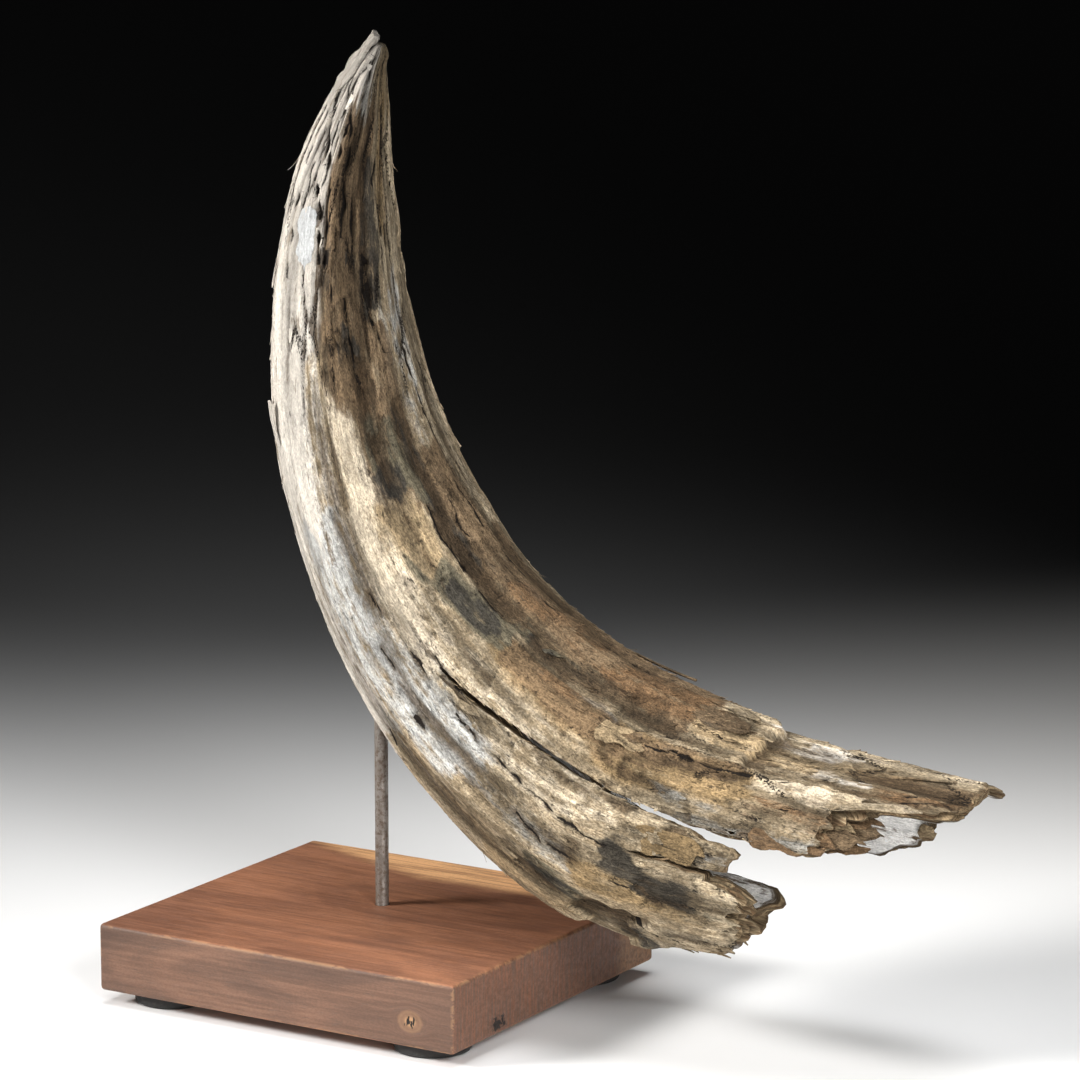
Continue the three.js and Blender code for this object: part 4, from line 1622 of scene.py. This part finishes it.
def flakes_tree(material):
    """Geometry Nodes: thin curled flakes, scattered where the surface is frayed and laid along its fibres."""
    sizes = {"Density": "Float", "Length": "Float", "Width": "Float", "Thickness": "Float", "Curl": "Float",
             "Seed": "Int"}
    sockets, graph, given = new_tree("Loose flakes", sizes, geometry_in=True)
    fray = graph.add("GeometryNodeInputNamedAttribute", {"Name": "fray"}, data_type="FLOAT").outputs[0]
    way = graph.add("GeometryNodeInputNamedAttribute", {"Name": "way"}, data_type="FLOAT_VECTOR").outputs[0]
    spots = graph.add("GeometryNodeDistributePointsOnFaces", {
        "Mesh": given["Surface"], "Density": graph.times(fray, given["Density"]), "Seed": given["Seed"]})
    upright = graph.add("FunctionNodeAlignRotationToVector", {"Vector": spots.outputs["Normal"]}, axis="Z")
    along = graph.add("FunctionNodeAlignRotationToVector", {"Rotation": upright.outputs[0], "Vector": way},
                      axis="X", pivot_axis="Z")

    slab = graph.add("GeometryNodeMeshCube", {
        "Size": (1, 1, 1), "Vertices X": 5, "Vertices Y": 3, "Vertices Z": 2})
    x, y, z = graph.parts(graph.add("GeometryNodeInputPosition").outputs[0])
    share = graph.plus(x, 0.5)
    curve = graph.times(share, share)
    narrow = graph.minus(1.0, graph.times(curve, 0.7))
    rise = graph.times(graph.times(curve, given["Curl"]), given["Length"])
    shaped = graph.add("ShaderNodeCombineXYZ", {
        0: graph.times(share, given["Length"]),
        1: graph.times(graph.times(y, narrow), given["Width"]),
        2: graph.plus(graph.times(z, given["Thickness"]), rise)}).outputs[0]
    flake = graph.add("GeometryNodeSetPosition", {
        "Geometry": slab.outputs["Mesh"], "Position": shaped}).outputs[0]
    flake = graph.add("GeometryNodeStoreNamedAttribute", {
        "Geometry": flake, "Name": "inside", "Value": graph.add("GeometryNodeInputPosition").outputs[0]},
        data_type="FLOAT_VECTOR").outputs[0]
    scale = graph.add("FunctionNodeRandomValue", {
        0: (0.4, 0.35, 0.6), 1: (1.7, 1.4, 1.2), "Seed": given["Seed"]}, data_type="FLOAT_VECTOR").outputs[0]
    copies = graph.add("GeometryNodeInstanceOnPoints", {
        "Points": spots.outputs["Points"], "Instance": flake, "Rotation": along.outputs[0], "Scale": scale})
    finish_tree(graph, copies.outputs[0], material)
    return graph, sockets


def settle_flakes(mesh):
    """Keeps flakes inside the part's box, with grain of their own and without the horn's cracks."""
    count = len(mesh.vertices)
    place = np.empty(3 * count)
    mesh.vertices.foreach_get("co", place)
    place = np.clip(place.reshape(count, 3), np.array(CAD_BOX[0]) + MM / 5, np.array(CAD_BOX[1]) - MM / 5)
    mesh.vertices.foreach_set("co", place.ravel())
    fibre, inside = np.empty(3 * count), np.empty(3 * count)
    mesh.attributes["fibre"].data.foreach_get("vector", fibre)
    mesh.attributes["inside"].data.foreach_get("vector", inside)
    fibre, inside = fibre.reshape(count, 3), inside.reshape(count, 3) / MM
    fibre[:, 0] -= fibre[:, 1] / GIRTH * inside[:, 1]
    fibre[:, 1] += fibre[:, 0] / GIRTH * inside[:, 1]
    fibre[:, 2] += inside[:, 0]
    mesh.attributes["fibre"].data.foreach_set("vector", fibre.ravel())
    mesh.attributes["ledge"].data.foreach_set("value", np.full(count, FAR_AWAY))
    for attribute in ("strip", "flake", *CRACK_NAMES, "inside"):
        mesh.attributes.remove(mesh.attributes[attribute])
    mesh.shade_smooth()
    mesh.set_sharp_from_angle(angle=math.radians(50))


class SPECIMEN_OT_flakes(bpy.types.Operator):
    """Scatters loose flakes and fibres over the frayed places of the horn"""

    bl_idname = "specimen.flakes"
    bl_label = "Loose flakes and fibres"

    def execute(self, context):
        settings = context.scene.specimen_horn
        horn = bpy.data.objects["weathered_horn_sheath"].data
        graph, sockets = flakes_tree(horn.materials[0])
        flake = {"Density": settings.flake_density, "Length": settings.flake_length, "Seed": settings.seed,
                 "Width": settings.flake_length * 0.42, "Thickness": 0.35 * MM, "Curl": 0.18}
        fibre = {"Density": settings.flake_density * 0.3, "Length": settings.flake_length * 1.3,
                 "Seed": settings.seed + 1, "Width": 0.15 * MM, "Thickness": 0.12 * MM, "Curl": 0.35}
        for name, values in {"loose_flakes": flake, "loose_fibres": fibre}.items():
            piece = grown(name, horn.copy(), graph, sockets, values)
            settle_flakes(piece.data)
            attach(piece, "root")
        return {"FINISHED"}


def feet_tree(material):
    """Geometry Nodes: one foot with a rounded lower rim, set on the four corners of a rectangle."""
    sizes = dict.fromkeys(("Radius", "Height", "Edge", "Spacing X", "Spacing Y"), "Float")
    sockets, graph, given = new_tree("Stick-on feet", {**sizes, "Middle": "Vector"})
    disc = graph.add("GeometryNodeMeshCylinder", {
        "Vertices": 48, "Side Segments": 12, "Fill Segments": 3,
        "Radius": given["Radius"], "Depth": given["Height"]}, fill_type="NGON")
    x, y, z = graph.parts(graph.add("GeometryNodeInputPosition").outputs[0])
    rim_start = graph.minus(graph.times(given["Height"], 0.5), given["Edge"])
    share = graph.most(graph.over(graph.minus(graph.times(z, -1.0), rim_start), given["Edge"]), 0.0)
    curve = graph.times(graph.times(share, share), 0.999)
    pull = graph.minus(1.0, graph.math("SQRT", graph.minus(1.0, curve)))
    factor = graph.minus(1.0, graph.times(pull, graph.over(given["Edge"], given["Radius"])))
    shaped = graph.add("ShaderNodeCombineXYZ", {0: graph.times(x, factor), 1: graph.times(y, factor), 2: z})
    foot = graph.add("GeometryNodeSetPosition", {
        "Geometry": disc.outputs["Mesh"], "Position": shaped.outputs[0]})
    corners = graph.add("GeometryNodeMeshGrid", {
        "Size X": given["Spacing X"], "Size Y": given["Spacing Y"], "Vertices X": 2, "Vertices Y": 2})
    spots = graph.add("GeometryNodeMeshToPoints", {"Mesh": corners.outputs["Mesh"]})
    copies = graph.add("GeometryNodeInstanceOnPoints", {
        "Points": spots.outputs[0], "Instance": foot.outputs[0]})
    placed = graph.add("GeometryNodeTransform", {
        "Geometry": copies.outputs[0], "Translation": given["Middle"]})
    finish_tree(graph, placed.outputs[0], material)
    return graph, sockets


class SPECIMEN_OT_feet(bpy.types.Operator):
    """Builds the four rubber feet"""

    bl_idname = "specimen.feet"
    bl_label = "Rubber feet"

    def execute(self, context):
        settings = context.scene.specimen_stand
        low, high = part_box(FEET[0])
        far_low, far_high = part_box(FEET[3])
        graph, sockets = feet_tree(rubber_material(settings))
        middle = (low + far_high) / 2
        values = {"Radius": (high.x - low.x) / 2, "Height": high.z - low.z, "Edge": settings.foot_edge,
                  "Spacing X": far_low.x - low.x, "Spacing Y": far_low.y - low.y, "Middle": middle}
        piece = grown("rubber_feet", bpy.data.meshes.new("feet"), graph, sockets, values)
        piece.data.shade_smooth()
        piece.data.set_sharp_from_angle(angle=math.radians(40))
        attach(piece, "root")
        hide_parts(*FEET)
        return {"FINISHED"}


def add_light(name, power, place, target, size, tint, spread, turn):
    light = bpy.data.lights.new(name, "AREA")
    light.shape = "RECTANGLE"
    light.size, light.size_y = size
    light.energy = power
    light.color = tint
    light.spread = math.radians(spread)
    lamp = bpy.data.objects.new(name, light)
    bpy.context.scene.collection.objects.link(lamp)
    lamp.location = place
    aim = (Vector(target) - Vector(place)).to_track_quat("-Z", "Y")
    lamp.rotation_euler = (Quaternion((0, 0, 1), math.radians(turn)) @ aim).to_euler()


class SPECIMEN_OT_stage(bpy.types.Operator):
    """Sets the floor, the lights and the camera"""

    bl_idname = "specimen.stage"
    bl_label = "Stage"

    def execute(self, context):
        settings = context.scene.specimen_stage
        scene = context.scene
        work = bmesh.new()
        bmesh.ops.create_circle(work, cap_ends=True, segments=96, radius=FLOOR_RADIUS)
        mesh = mesh_of(work, "floor")
        mesh.materials.append(floor_material(settings))
        floor = new_object("floor", mesh)

        world = bpy.data.worlds.new("studio")
        world.use_nodes = True
        background = world.node_tree.nodes["Background"]
        background.inputs["Color"].default_value = (1, 1, 1, 1)
        background.inputs["Strength"].default_value = SKY_STRENGTH
        scene.world = world
        scene.view_settings.view_transform = "Standard"
        for name, light in LIGHTS.items():
            add_light(name, getattr(settings, f"{name}_power"), *light)

        camera = bpy.data.cameras.new("camera")
        camera.lens = settings.camera_lens
        camera.sensor_width = SENSOR_WIDTH
        camera.clip_end = VIEW_END
        eye = bpy.data.objects.new("camera", camera)
        scene.collection.objects.link(eye)
        eye.location = settings.camera_place
        eye.rotation_euler = Euler((math.pi / 2 - settings.camera_dip, 0, settings.camera_turn))
        scene.camera = eye
        return {"FINISHED"}


class VIEW3D_PT_specimen(bpy.types.Panel):
    """Lists the pieces of the specimen"""

    bl_label = "Fossil Horn Sheath"
    bl_space_type = "VIEW_3D"
    bl_region_type = "UI"
    bl_category = "Specimen"

    def draw(self, context):
        for operator in OPERATORS:
            self.layout.operator(operator.bl_idname)
        for group in SETTINGS:
            values = getattr(context.scene, group)
            box = self.layout.box()
            for name in values.bl_rna.properties.keys():
                if name not in ("rna_type", "name"):
                    box.prop(values, name)


OPERATORS = (
    SPECIMEN_OT_horn, SPECIMEN_OT_flakes, SPECIMEN_OT_rod,
    SPECIMEN_OT_block, SPECIMEN_OT_feet, SPECIMEN_OT_stage,
)
SETTINGS = {"specimen_horn": HornSettings, "specimen_stand": StandSettings, "specimen_stage": StageSettings}


def register():
    for kind in (*SETTINGS.values(), *OPERATORS, VIEW3D_PT_specimen):
        bpy.utils.register_class(kind)
    for name, kind in SETTINGS.items():
        setattr(bpy.types.Scene, name, bpy.props.PointerProperty(type=kind))


def unregister():
    for name in SETTINGS:
        delattr(bpy.types.Scene, name)
    for kind in (VIEW3D_PT_specimen, *OPERATORS[::-1], *SETTINGS.values()):
        bpy.utils.unregister_class(kind)


def main():
    register()
    bpy.ops.specimen.horn()
    bpy.ops.specimen.flakes()
    bpy.ops.specimen.rod()
    bpy.ops.specimen.block()
    bpy.ops.specimen.feet()
    bpy.ops.specimen.stage()


if __name__ == "__main__":
    main()
